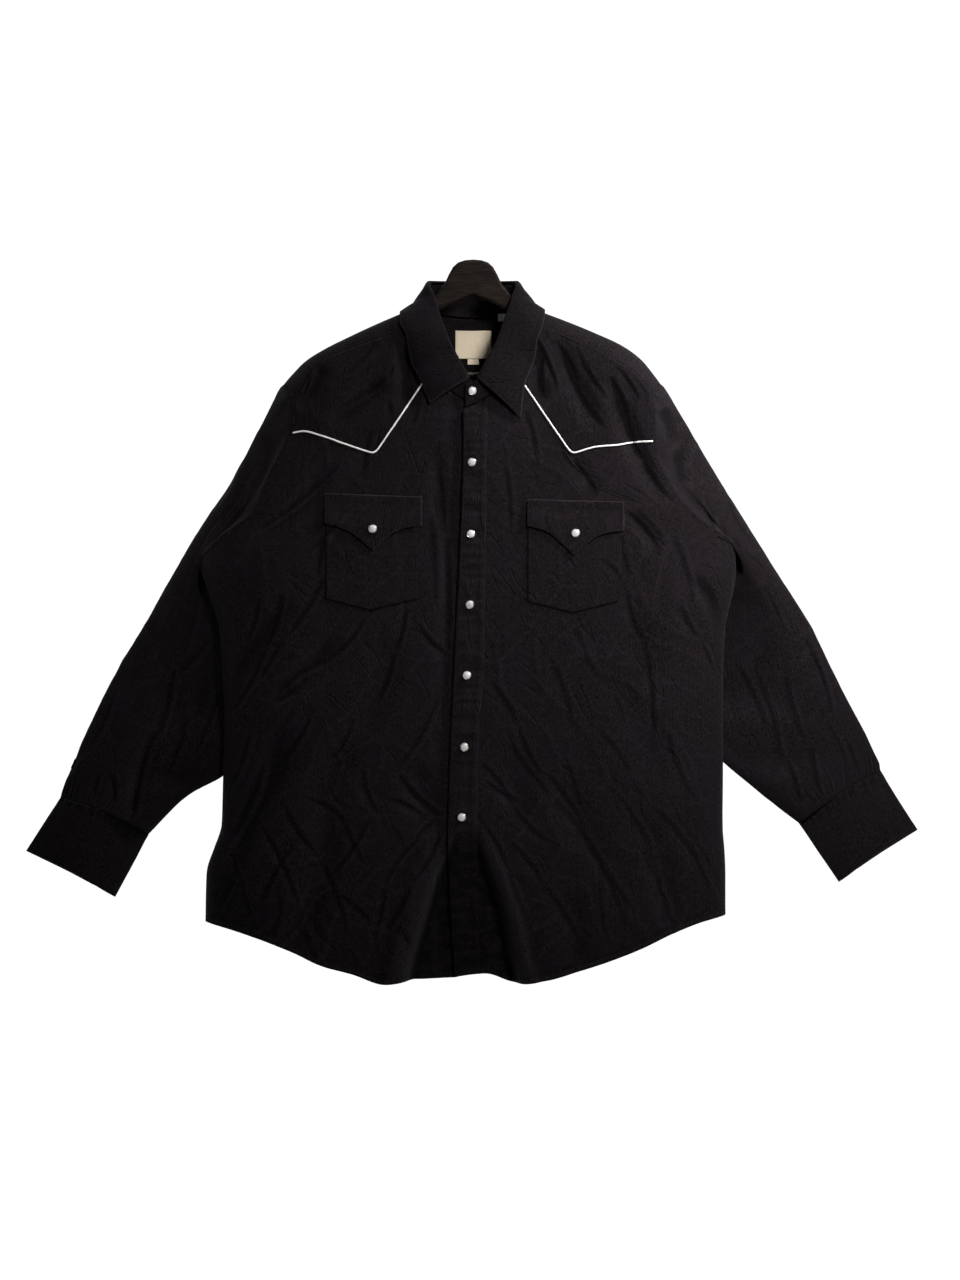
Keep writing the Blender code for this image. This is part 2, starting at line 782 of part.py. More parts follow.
def sleeve_section(rows, row, side, at):
    """One section of a sleeve: a closed line through its five measured points."""
    get = {name: values[row] for name, values in rows.items()}
    outer = (side * get["o_x"], get["o_y"], get["o_z"])
    front = (side * get["f_x"], get["f_y"], get["f_z"])
    points = [outer, front]
    for name in ("e", "u"):
        x, z = side * get[f"{name}_x"], get[f"{name}_z"]
        if f"{name}_gap" in get:
            points.append((x, float(body_y(x, z, -1)) + get[f"{name}_gap"], z))
        else:
            points.append((x, get[f"{name}_y"], z))
    middle = [(a + b) / 2 for a, b in zip(points[0], points[3])]
    points.append((middle[0], get["b_y"], middle[2]))
    knots = list(SECTION_KNOTS.values())
    return ring_through(knots, np.array(points), at, len(ARMHOLE["face"]))


def sleeve_grid(side):
    """Points of a sleeve: rows from armhole to cuff, columns round it."""
    at = np.arange(len(ARMHOLE["face"]), dtype=float)
    rows = SLEEVES[side]
    grid = [armhole(side)]
    for row in range(len(rows["o_x"])):
        grid.append(sleeve_section(rows, row, side, at))
    grid = np.array(grid)
    grid = np.concatenate([grid[:1], sleeve_start(grid[0], side)[None], grid[1:]])
    return np.stack(kept_clear(grid, side), -1)


def sleeve_start(ring, side):
    """The sleeve leaves its seam square to it and a little sunk."""
    around = np.roll(flat(ring), -1, axis=0) - np.roll(flat(ring), 1, axis=0)
    square = np.stack([-around[:, 1], around[:, 0]], -1) * side
    square /= np.linalg.norm(square, axis=1, keepdims=True)
    square[ARMHOLE["face"] < 0] *= -1
    square[SHOULDER] = (side * 0.75, -0.66)
    square[ARMPIT] = (side * 0.9, -0.44)
    sunk = -1.2 * ARMHOLE["face"]
    return ring + np.stack([5 * square[:, 0], -sunk, 5 * square[:, 1]], -1)


def edge_x(side, z, first, last):
    """Where the body ends at height z: the armhole seam, and the side seam below the armpit."""
    name = "right" if side == RIGHT else "left"
    x = ARMHOLE[f"{name}_x"][first : last + 1]
    height = ARMHOLE[f"{name}_z"][first : last + 1]
    if height[0] > height[-1]:
        x, height = x[::-1], height[::-1]
    above = np.interp(z, height, x)
    return np.where(z < height[0], sided(SIDES, "z", "", side * np.ones_like(z), z), above)


def kept_clear(grid, side):
    """x, y, z of sleeve points, moved off the body wherever they would touch it."""
    x, y, z = np.moveaxis(grid, -1, 0)
    column = np.arange(grid.shape[1])[None]
    ahead = edge_x(side, z, PIPED, ARMPIT) - np.abs(x) + 6.5
    beside = (ahead > 0) & (column <= ARMPIT) & (y < seam_y(z) + 3) & (np.arange(len(x))[:, None] > 1)
    x = np.where(beside, x + side * ahead, x)
    behind = edge_x(side, z, ARMPIT, YOKED) - np.abs(x)
    clear = body_y(x, z, -1) + 5 * soft_step((behind + 4) / 8)
    over = (behind > -4) & (column >= ARMPIT - 3) & (np.arange(len(x))[:, None] > 1)
    over &= (column >= ARMPIT) | (y >= seam_y(z))
    y = np.where(over, np.maximum(y, clear), y)
    return x, y, z


def sleeve_points(side):
    """The sleeve's points, clear of its seams and most of all at the armpit, where it turns."""
    grid = pulled_in(sleeve_grid(side), top=2 * SEAM, bottom=SEAM)
    grid[:2, ARMPIT - 3 : ARMPIT + 2] += (side * 0.8, 0, 0.7)
    return grid


def cuff_grid(side):
    """A cuff is a strip wrapped round, its ends overlapping at the back."""
    period = len(ARMHOLE["face"])
    at = np.linspace(16.2, 16.2 + period + 2.2, 27)
    grid = np.array([sleeve_section(CUFFS[side], row, side, at) for row in range(3)])
    lift = 2.6 * soft_step((at - at[-1] + 5.5) / 2.8)
    grid = grid + np.array([0, 1, 0]) * lift[None, :, None]
    return pulled_in(grid, top=SEAM)


# ---------------------------------------------------------------- collar
def resampled(points, count):
    """The same line cut into equal shares."""
    place = shares(points)
    wanted = np.linspace(0, 1, count)
    return np.stack([through(place, points[:, i], wanted) for i in range(3)], -1)


def neckline(side, beyond):
    """Neck seam from the middle of the back to just past the middle of the front."""
    back = NECK_BACK["x"][::-1], NECK_BACK["z"][::-1], NECK_BACK["face"][::-1]
    x = side * back[0]
    z = np.where(back[2] == 0, ridge(x), back[1])
    behind = body_points(x, z, back[2])
    front_x = NECK_FRONT["x"][::-1][1:-1]
    front_z = NECK_FRONT["z"][::-1][1:-1]
    before = body_points(side * front_x, front_z, 1)
    last = body_points(np.array([-side * beyond]), np.array([-181.0]), 1)
    return np.concatenate([behind, before, last])


def roll_line(side, beyond):
    line = np.stack([side * ROLL_LINE["x"], ROLL_LINE["y"], ROLL_LINE["z"]], -1)
    if beyond is None:
        return line
    last = np.array([[-side * beyond, -52.5, -151.5]])
    return np.concatenate([line, last])


def joined(function, count, *parameters):
    """A line round the neck, from the wearer's right front end to the left one."""
    halves = [resampled(function(side, *parameters), count) for side in (RIGHT, LEFT)]
    return np.concatenate([halves[0][::-1], halves[1][1:]])


def neck_frames(beyond_low, beyond_high, count=15):
    """Neck seam, roll line, and for each column the stand's rise and the way out of the neck."""
    low = joined(neckline, count, beyond_low)
    high = joined(roll_line, count, beyond_high)
    rise = high - low
    rise /= np.linalg.norm(rise, axis=1, keepdims=True)
    along = np.gradient(high, axis=0)
    out = np.cross(rise, along)
    out /= np.linalg.norm(out, axis=1, keepdims=True)
    return low, high, rise, out


def stand_grid():
    low, high, rise, out = neck_frames(9.5, 8.5)
    low = low + 1.6 * rise
    grid = np.array([high + (low - high) * share for share in (0, 0.5, 1)])
    columns = np.linspace(-1, 1, grid.shape[1])
    over = 0.4 * soft_step((columns - 0.78) / 0.12)
    under = 3.2 * soft_step((-columns - 0.78) / 0.1)
    return grid + out * (over - under)[None, :, None]


def collar_edge(side):
    name = "right" if side == RIGHT else "left"
    x, z = side * COLLAR_EDGE[f"{name}_x"], COLLAR_EDGE[f"{name}_z"].copy()
    face = COLLAR_EDGE["face"]
    z[face == 0] = ridge(x[face == 0])
    line = body_points(x, z, face)
    lift = np.where(face == 0, 4.6, np.where(face > 0, 5.4, 4.6))[:, None]
    way = outward(line)
    way[face == 0] = (0, 0, 1)
    return line + way * lift


def collar_grid():
    """The collar rolls over the stand's top edge and falls outside it."""
    low, top, rise, out = neck_frames(0.0, None)
    edge = joined(collar_edge, 15)
    rows = [top + across * out + up * rise for across, up in COLLAR_ROLL]
    for share in (0.33, 0.67, 1.0):
        bulge = 3.0 * math.sin(share * math.pi) * out
        rows.append(rows[3] * (1 - share) + edge * share + bulge)
    return np.array(rows)


# ---------------------------------------------------------------- making objects
def clear_scene():
    for thing in list(bpy.data.objects):
        bpy.data.objects.remove(thing, do_unlink=True)
    collection = bpy.data.collections.new("button_up_shirt")
    bpy.context.scene.collection.children.link(collection)
    return collection


PART = clear_scene()


def give_material(thing, kind):
    colour, roughness, metallic = MATERIALS[kind]
    made = bpy.data.materials.new(f"{thing.name}_{kind}")
    made.use_nodes = True
    shader = made.node_tree.nodes["Principled BSDF"]
    shader.inputs["Base Color"].default_value = (*colour, 1)
    shader.inputs["Roughness"].default_value = roughness
    shader.inputs["Metallic"].default_value = metallic
    thing.data.materials.append(made)


def add_sheet(name, grid, wall, kind="cloth", flip=False, tube=False):
    """A grid of points (mm) given a wall on its inner side."""
    if tube:
        grid = np.concatenate([grid, grid[:, :1]], axis=1)
    rows, columns = grid.shape[:2]
    shape = bmesh.new()
    bmesh.ops.create_grid(shape, x_segments=columns - 1, y_segments=rows - 1, size=1)
    for vertex, point in zip(shape.verts, grid.reshape(-1, 3)):
        vertex.co = point / 1000
    if tube:
        bmesh.ops.remove_doubles(shape, verts=shape.verts, dist=1e-6)
    if flip:
        bmesh.ops.reverse_faces(shape, faces=shape.faces)
    mesh = bpy.data.meshes.new(name)
    shape.to_mesh(mesh)
    shape.free()
    thing = bpy.data.objects.new(name, mesh)
    PART.objects.link(thing)
    thicken = thing.modifiers.new("wall", "SOLIDIFY")
    thicken.thickness = wall / 1000
    thicken.offset = -1
    thicken.use_rim = True
    give_material(thing, kind)
    return thing


def lying(x, z, lift, face=1):
    """Points on a panel, moved out of it by lift."""
    points = body_points(x, z, face)
    return points + outward(points) * lift


def facet_y(grid, x, z):
    """Front-most depth of the flat facets of a grid of points at x, z."""
    found = np.full(np.broadcast(x, z).shape, np.inf)
    cells = (grid[:-1, :-1], grid[:-1, 1:], grid[1:, 1:], grid[1:, :-1])
    for corners in ((0, 1, 2), (0, 2, 3), (0, 1, 3), (1, 2, 3)):
        for a, b, c in zip(*(cells[i].reshape(-1, 3) for i in corners)):
            area = (b[0] - a[0]) * (c[2] - a[2]) - (c[0] - a[0]) * (b[2] - a[2])
            if abs(area) < 1e-9:
                continue
            one = ((x - a[0]) * (c[2] - a[2]) - (c[0] - a[0]) * (z - a[2])) / area
            two = ((b[0] - a[0]) * (z - a[2]) - (x - a[0]) * (b[2] - a[2])) / area
            inside = (one > -0.02) & (two > -0.02) & (one + two < 1.02)
            y = a[1] + one * (b[1] - a[1]) + two * (c[1] - a[1])
            found = np.where(inside, np.minimum(found, y), found)
    return found


def add_snap(name, point, way, radius=SNAP_RADIUS):
    """A low domed cap turned about its own axis, which points along way."""
    profile = ((0, 1), (0.45, 0.94), (0.78, 0.72), (0.95, 0.42), (1, 0.2), (0.96, 0), (0, 0))
    shape = bmesh.new()
    last = None
    for across, height in profile:
        corner = shape.verts.new((across * radius / 1000, 0, height * SNAP_HEIGHT / 1000))
        if last:
            shape.edges.new((last, corner))
        last = corner
    mesh = bpy.data.meshes.new(name)
    shape.to_mesh(mesh)
    shape.free()
    thing = bpy.data.objects.new(name, mesh)
    PART.objects.link(thing)
    turn = thing.modifiers.new("turn", "SCREW")
    turn.steps = turn.render_steps = 12
    turn.use_merge_vertices = True
    turn.merge_threshold = 0.0001
    turn.use_normal_calculate = True
    thing.rotation_mode = "QUATERNION"
    up = np.array([0, 0, 1.0])
    axis = np.cross(up, way)
    half = math.acos(float(np.clip(up @ way, -1, 1))) / 2
    axis = axis / np.linalg.norm(axis) * math.sin(half)
    thing.rotation_quaternion = (math.cos(half), *axis)
    thing.location = point / 1000
    give_material(thing, "pearl")


def add_rod(name, path, radius, kind, sides=1):
    """A round rod or cord along a line of points (mm)."""
    shape = bpy.data.curves.new(name, "CURVE")
    shape.dimensions = "3D"
    shape.bevel_depth = radius / 1000
    shape.bevel_resolution = sides
    shape.use_fill_caps = True
    spline = shape.splines.new("POLY")
    spline.points.add(len(path) - 1)
    for point, place in zip(spline.points, path):
        point.co = (*(place / 1000), 1)
    thing = bpy.data.objects.new(name, shape)
    PART.objects.link(thing)
    give_material(thing, kind)


# ---------------------------------------------------------------- the shirt
front_left, front_right = front_grid(LEFT), front_grid(RIGHT)
add_sheet("front_left", front_left, CLOTH, flip=True)
add_sheet("front_right", front_right, CLOTH)
add_sheet("back", back_grid(), CLOTH)
add_sheet("front_yoke_left", front_yoke_grid(LEFT), CLOTH, flip=True)
add_sheet("front_yoke_right", front_yoke_grid(RIGHT), CLOTH)
add_sheet("back_yoke", back_yoke_grid(), CLOTH)
for side, word in ((LEFT, "left"), (RIGHT, "right")):
    add_sheet(f"sleeve_{word}", sleeve_points(side), CLOTH, tube=True, flip=side == RIGHT)
    add_sheet(f"cuff_{word}", cuff_grid(side), CUFF_WALL, flip=side == RIGHT)
add_sheet("collar_stand", stand_grid(), CUFF_WALL)
add_sheet("collar", collar_grid(), CUFF_WALL)

# Front band, pockets and flaps lie on the fronts.
band_z = np.linspace(0, 1, 25)
band_rows = []
for share in band_z:
    z = -182.0 + share * (-848.5 + 182.0)
    low, high = through(BAND["z"], BAND["outer"], z), through(BAND["z"], BAND["inner"], z)
    x = np.array([low + 0.5, (low + high) / 2, high])
    top = through(NECK_FRONT["x"], NECK_FRONT["z"], x) - 1.5
    bottom = through(HEM["x"], HEM["z"], x)
    z = top + share * (bottom - top)
    y = facet_y(front_left, x, z)
    y = np.where(np.isfinite(y), y, body_y(x, z, 1))
    band_rows.append(np.stack([x, y - LIFT - CLOTH, z], -1))
add_sheet("front_band", np.array(band_rows), CLOTH, flip=True)

for side, word in ((LEFT, "left"), (RIGHT, "right")):
    size = POCKETS[side]
    x = np.linspace(size["inner"], size["outer"], 7)
    low = np.interp(x, [size["inner"], size["low_x"], size["outer"]], [0, 1, 0])
    low = size["corner"] + (size["low"] - size["corner"]) * low
    share = np.linspace(0, 1, 6)[:, None]
    z = size["top"] + share * (low[None] - size["top"])
    x = np.broadcast_to(side * x, z.shape)
    add_sheet(f"pocket_{word}", lying(x, z, LIFT + CLOTH), CLOTH, flip=side == LEFT)
    rows = FLAPS[side]
    share = np.linspace(0, 1, 4)[:, None]
    z = rows["top"] + share * (rows["bottom"] - rows["top"])
    x = np.broadcast_to(side * rows["x"], z.shape)
    grid = lying(x, z, 2 * (LIFT + CLOTH) + 0.3)
    add_sheet(f"flap_{word}", grid, CLOTH, flip=side == LEFT)

# White piping runs in each front yoke seam.
for side, word in ((LEFT, "left"), (RIGHT, "right")):
    line = seam(PIPED_SEAM, side)
    line[0] += 0.6 * (line[1] - line[0])
    line[-1] += 0.09 * (line[-2] - line[-1])
    path = lying(line[:, 0], line[:, 1], PIPING_RADIUS + 0.3)
    add_rod(f"piping_{word}", path, PIPING_RADIUS, "piping")

# Neck label, its size tab and the care tag hang inside the back.
for name, low_x, high_x, high_z, low_z, stand_off, kind in (
    ("neck_label", -21.4, 22.0, -81.5, -115.0, 0.8, "label"),
    ("size_tab", -6.6, 6.9, -115.5, -122.0, 0.8, "label"),
    ("care_tag", 33.0, 45.5, -63.0, -71.5, 5.4, "tag"),
):
    x, z = np.meshgrid(np.linspace(low_x, high_x, 5), np.linspace(high_z, low_z, 4))
    grid = body_points(x, z, -1)
    if name == "care_tag":
        grid[..., 1] = grid[-1:, :, 1]
    grid[..., 1] -= CLOTH + stand_off + LABEL_WALL
    add_sheet(name, grid, LABEL_WALL, kind, flip=True)

# Snaps down the front, on the flaps, the stand and the cuffs.
for number, (x, z) in enumerate(zip(SNAPS["x"], SNAPS["z"]), 1):
    seat = body_points(x, z, 1)[None]
    way = outward(seat)[0]
    add_snap(f"snap_front_{number}", seat[0] + way * (LIFT + CLOTH + 0.4), way)
for side, word, x, z in ((LEFT, "left", 121, -328), (RIGHT, "right", -118.2, -323)):
    seat = body_points(x, z, 1)[None]
    way = outward(seat)[0]
    add_snap(f"snap_flap_{word}", seat[0] + way * (2 * (LIFT + CLOTH) + 0.7), way)
    cuff = cuff_grid(side)
    way = np.cross(cuff[1, -4] - cuff[1, -2], cuff[2, -3] - cuff[0, -3])
    way *= np.sign(way[1]) / np.linalg.norm(way)
    add_snap(f"snap_cuff_{word}", cuff[1, -3] + way * 0.4, way)
seat = float(facet_y(stand_grid()[:, -7:], np.array(-0.8), np.array(-160.0)))
add_snap("snap_neck", np.array([-0.8, seat - 0.75, -160.0]), np.array([0, -1.0, 0.02]))

# Wooden hanger body and its bar.
outline = [(x, z) for x, z in zip(HANGER["x"], HANGER["top"])]
under = [(x, z) for x, z in zip(HANGER["x"], HANGER["bottom"])][::-1]
half = outline + under
mirrored = [(-x, z) for x, z in half if x > 0][::-1]
shape = bpy.data.curves.new("hanger", "CURVE")
shape.dimensions = "2D"
shape.fill_mode = "BOTH"
shape.extrude = (HANGER_THICKNESS / 2 - 2.5) / 1000
shape.bevel_depth = 0.0025
shape.offset = -0.0025
shape.bevel_resolution = 1
spline = shape.splines.new("POLY")
spline.points.add(len(half + mirrored) - 1)
for point, (x, z) in zip(spline.points, half + mirrored):
    point.co = (x / 1000, z / 1000, 0, 1)
spline.use_cyclic_u = True
hanger = bpy.data.objects.new("hanger", shape)
hanger.rotation_euler = (math.pi / 2, 0, 0)
PART.objects.link(hanger)
give_material(hanger, "wood")
ends = np.array([(-BAR_REACH, 0, BAR_Z), (BAR_REACH, 0, BAR_Z)])
add_rod("hanger_bar", ends, BAR_RADIUS, "steel", sides=2)
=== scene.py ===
import math

import bmesh
import bpy
import numpy as np
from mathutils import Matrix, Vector


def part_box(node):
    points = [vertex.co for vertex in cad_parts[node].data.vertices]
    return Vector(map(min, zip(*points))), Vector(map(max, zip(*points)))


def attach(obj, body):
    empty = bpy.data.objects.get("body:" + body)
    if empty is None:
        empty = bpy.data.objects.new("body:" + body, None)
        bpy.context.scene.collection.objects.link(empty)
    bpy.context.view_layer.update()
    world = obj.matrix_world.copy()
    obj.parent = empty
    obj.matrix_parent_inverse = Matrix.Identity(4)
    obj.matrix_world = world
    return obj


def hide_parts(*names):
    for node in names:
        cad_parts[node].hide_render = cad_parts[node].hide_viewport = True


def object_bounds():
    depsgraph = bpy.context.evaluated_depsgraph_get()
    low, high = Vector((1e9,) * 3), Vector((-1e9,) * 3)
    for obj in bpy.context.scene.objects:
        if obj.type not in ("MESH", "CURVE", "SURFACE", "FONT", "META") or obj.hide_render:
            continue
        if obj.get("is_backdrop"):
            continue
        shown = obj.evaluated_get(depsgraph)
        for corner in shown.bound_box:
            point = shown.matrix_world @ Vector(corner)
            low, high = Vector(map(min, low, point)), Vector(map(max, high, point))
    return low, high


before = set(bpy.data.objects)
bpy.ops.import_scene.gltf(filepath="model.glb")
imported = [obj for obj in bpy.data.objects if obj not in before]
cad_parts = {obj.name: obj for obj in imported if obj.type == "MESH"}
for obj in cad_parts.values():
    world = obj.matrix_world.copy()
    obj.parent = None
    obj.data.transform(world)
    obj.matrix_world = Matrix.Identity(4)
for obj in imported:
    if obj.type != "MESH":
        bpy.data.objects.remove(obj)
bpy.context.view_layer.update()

# ================================================================ the two fronts
# Woven cotton, near black, one layer. Each front runs from the piped yoke seam down to a
# narrow curved hem; the wearer's left one (+X) laps over the right and carries the band.
# Sizes are in millimetres; X runs to the wearer's left, Z up, and the front faces -Y.
RIGHT, LEFT = -1, 1
BOTH_SIDES = (LEFT, "left"), (RIGHT, "right")
CLOTH = 1.2  # thickness of one layer, as thin as a sound wall allows
UNDERLAP = 2.4  # how far the right front's edge is sunk under the band
SIDE_REACH = 120.0  # the body rounds away over this distance from its side seams
RIDGE_ROLL = 45.0  # and over this height below the shoulder line
HEM_LOW = -861.0  # lowest point of the hem
NECK_ROOM = {"front": 11.0, "back": 13.0}  # more depth round the neck, where the hanger is thick
SIDE_STEPS = np.array([0, 1.2, 10, 31, 64, 104])  # last columns of a panel, from its side seam
FOLD = "x1 z1 x2 z2 bow width depth"


def table(columns, rows):
    """A dictionary of arrays, one for each named column."""
    names = columns.split()
    return {name: np.array([row[i] for row in rows], float) for i, name in enumerate(names)}


# Height of the shoulder line against distance from the middle.
RIDGE = table("x right left", (
    (0, -44, -44),
    (40, -49, -49),
    (70, -58, -58),
    (89, -65.5, -65),
    (118, -78, -76),
    (148, -92, -88.5),
    (177, -106.5, -102),
    (200, -121, -118.5),
    (214, -135, -135),
    (226, -149, -151.5),
    (243, -176, -178),
    (262, -210, -208),
    (330, -330, -322),
))
# Distance of the side seam from the middle; above the armpit it is where the body would end.
SIDES = table("z right left", (
    (-861, 319, 301),
    (-789, 319, 301),
    (-735, 318, 301),
    (-706, 311, 300),
    (-678, 300, 297.5),
    (-615, 298, 298),
    (-550, 296, 298),
    (-506, 298, 298),
    (-441, 302.5, 300.5),
    (-392, 317, 311),
    (-366, 325, 314),
    (-345, 321, 312),
    (-320, 309, 306),
    (-300, 298, 299),
    (-264, 284, 284),
    (-209, 268, 266),
    (-149, 266, 264),
    (-40, 262, 262),
))
# Half depths of the body, and where its side seam lies from front to back.
DEPTHS = table("z front back seam", (
    (-861, 44, 30, -6),
    (-650, 47, 31, -7),
    (-450, 49, 32, -8),
    (-300, 46, 33, -6),
    (-200, 41, 31, -2),
    (-150, 36, 30, 0),
    (-100, 29, 28, 0),
    (-40, 26, 27, 0),
))
# Folds: a line from (x1, z1) to (x2, z2) bowed sideways; depth goes into the cloth, negative out.
FRONT_FOLDS = table(FOLD, (
    (-172, -118, -212, -182, 4, 9, 6),
    (-100, -135, -172, -202, 4, 12, 7),
    (-84, -92, -76, -190, 3, 10, 6.5),
    (-156, -236, -270, -345, 10, 12, 5),
    (-200, -400, -312, -575, -14, 16, 7),
    (-150, -440, -255, -535, 8, 14, 5),
    (-214, -545, -290, -700, 12, 18, 9),
    (-130, -560, -190, -690, -6, 20, 5),
    (-95, -430, -140, -590, 8, 18, 4),
    (-45, -215, -40, -330, 3, 10, 3),
    (-60, -590, -55, -690, 4, 16, 4),
    (-160, -640, -215, -850, 6, 20, 7),
    (-250, -640, -300, -790, -4, 15, 7),
    (75, -100, 86, -182, -4, 9, 6),
    (96, -85, 160, -215, -6, 12, 8),
    (158, -132, 232, -300, -6, 11, 10),
    (118, -235, 150, -290, 0, 10, 3),
    (178, -300, 228, -355, 4, 10, 4),
    (196, -420, 205, -520, 0, 22, 5),
    (256, -372, 300, -456, 7, 9, 6),
    (150, -470, 235, -640, 10, 22, 4),
    (90, -600, 150, -740, 6, 20, 4),
    (40, -560, 62, -690, 4, 18, 4),
    (190, -640, 250, -800, 6, 20, 5),
    (110, -740, 130, -855, 4, 18, 5),
))
# The back's, which doesn't show from the front: drag lines from the yoke and soft hem folds.
BACK_FOLDS = table(FOLD, (
    (-205, -210, -150, -470, 14, 20, 6),
    (205, -210, 160, -430, -12, 20, 6),
    (-140, -230, -90, -560, 8, 24, 4),
    (120, -230, 80, -620, -10, 24, 4),
    (-250, -420, -200, -700, 10, 22, 7),
    (250, -400, 195, -680, -12, 22, 6),
    (-90, -560, -120, -860, -6, 24, 6),
    (30, -500, 10, -860, 8, 26, 6),
    (140, -560, 150, -860, -8, 24, 6),
    (-210, -640, -240, -850, 6, 20, 6),
    (235, -640, 240, -840, -4, 20, 6),
    (-60, -150, -110, -210, 4, 14, 3),
    (60, -150, 100, -215, -4, 14, 3),
))
BACK_CREASES = table(FOLD, (
    (-150, -225, -196, -300, 4, 4.2, 1.8),
    (-196, -300, -214, -400, -3, 4.2, 1.8),
    (150, -225, 200, -310, -4, 4.2, 1.8),
    (196, -330, 214, -420, 3, 4.2, 1.6),
    (-60, -225, -72, -330, 2, 4.2, 1.4),
    (40, -225, 58, -350, -3, 4.2, 1.4),
    (-120, -400, -160, -500, 5, 4.4, 1.8),
    (-160, -500, -176, -590, -3, 4.4, 1.6),
    (90, -420, 140, -520, -5, 4.4, 1.8),
    (140, -520, 150, -640, 3, 4.4, 1.6),
    (-30, -470, -52, -600, 4, 4.4, 1.4),
    (10, -600, 36, -720, -4, 4.4, 1.6),
    (-110, -640, -70, -740, -4, 4.4, 1.8),
    (-210, -620, -170, -720, -5, 4.4, 1.8),
    (-260, -520, -236, -640, 4, 4.4, 2.0),
    (230, -500, 262, -620, -4, 4.4, 2.0),
    (200, -660, 160, -770, 5, 4.4, 1.8),
    (90, -700, 120, -810, 4, 4.4, 1.6),
    (-20, -740, -36, -840, 2, 4.4, 1.4),
    (-150, -740, -186, -820, 3, 4.4, 1.6),
    (240, -700, 266, -780, -3, 4.4, 1.6),
    (-100, -130, -150, -190, 3, 4.2, 1.4),
    (90, -130, 150, -195, -3, 4.2, 1.4),
    (-40, -320, 30, -360, 5, 4.4, 1.2),
))
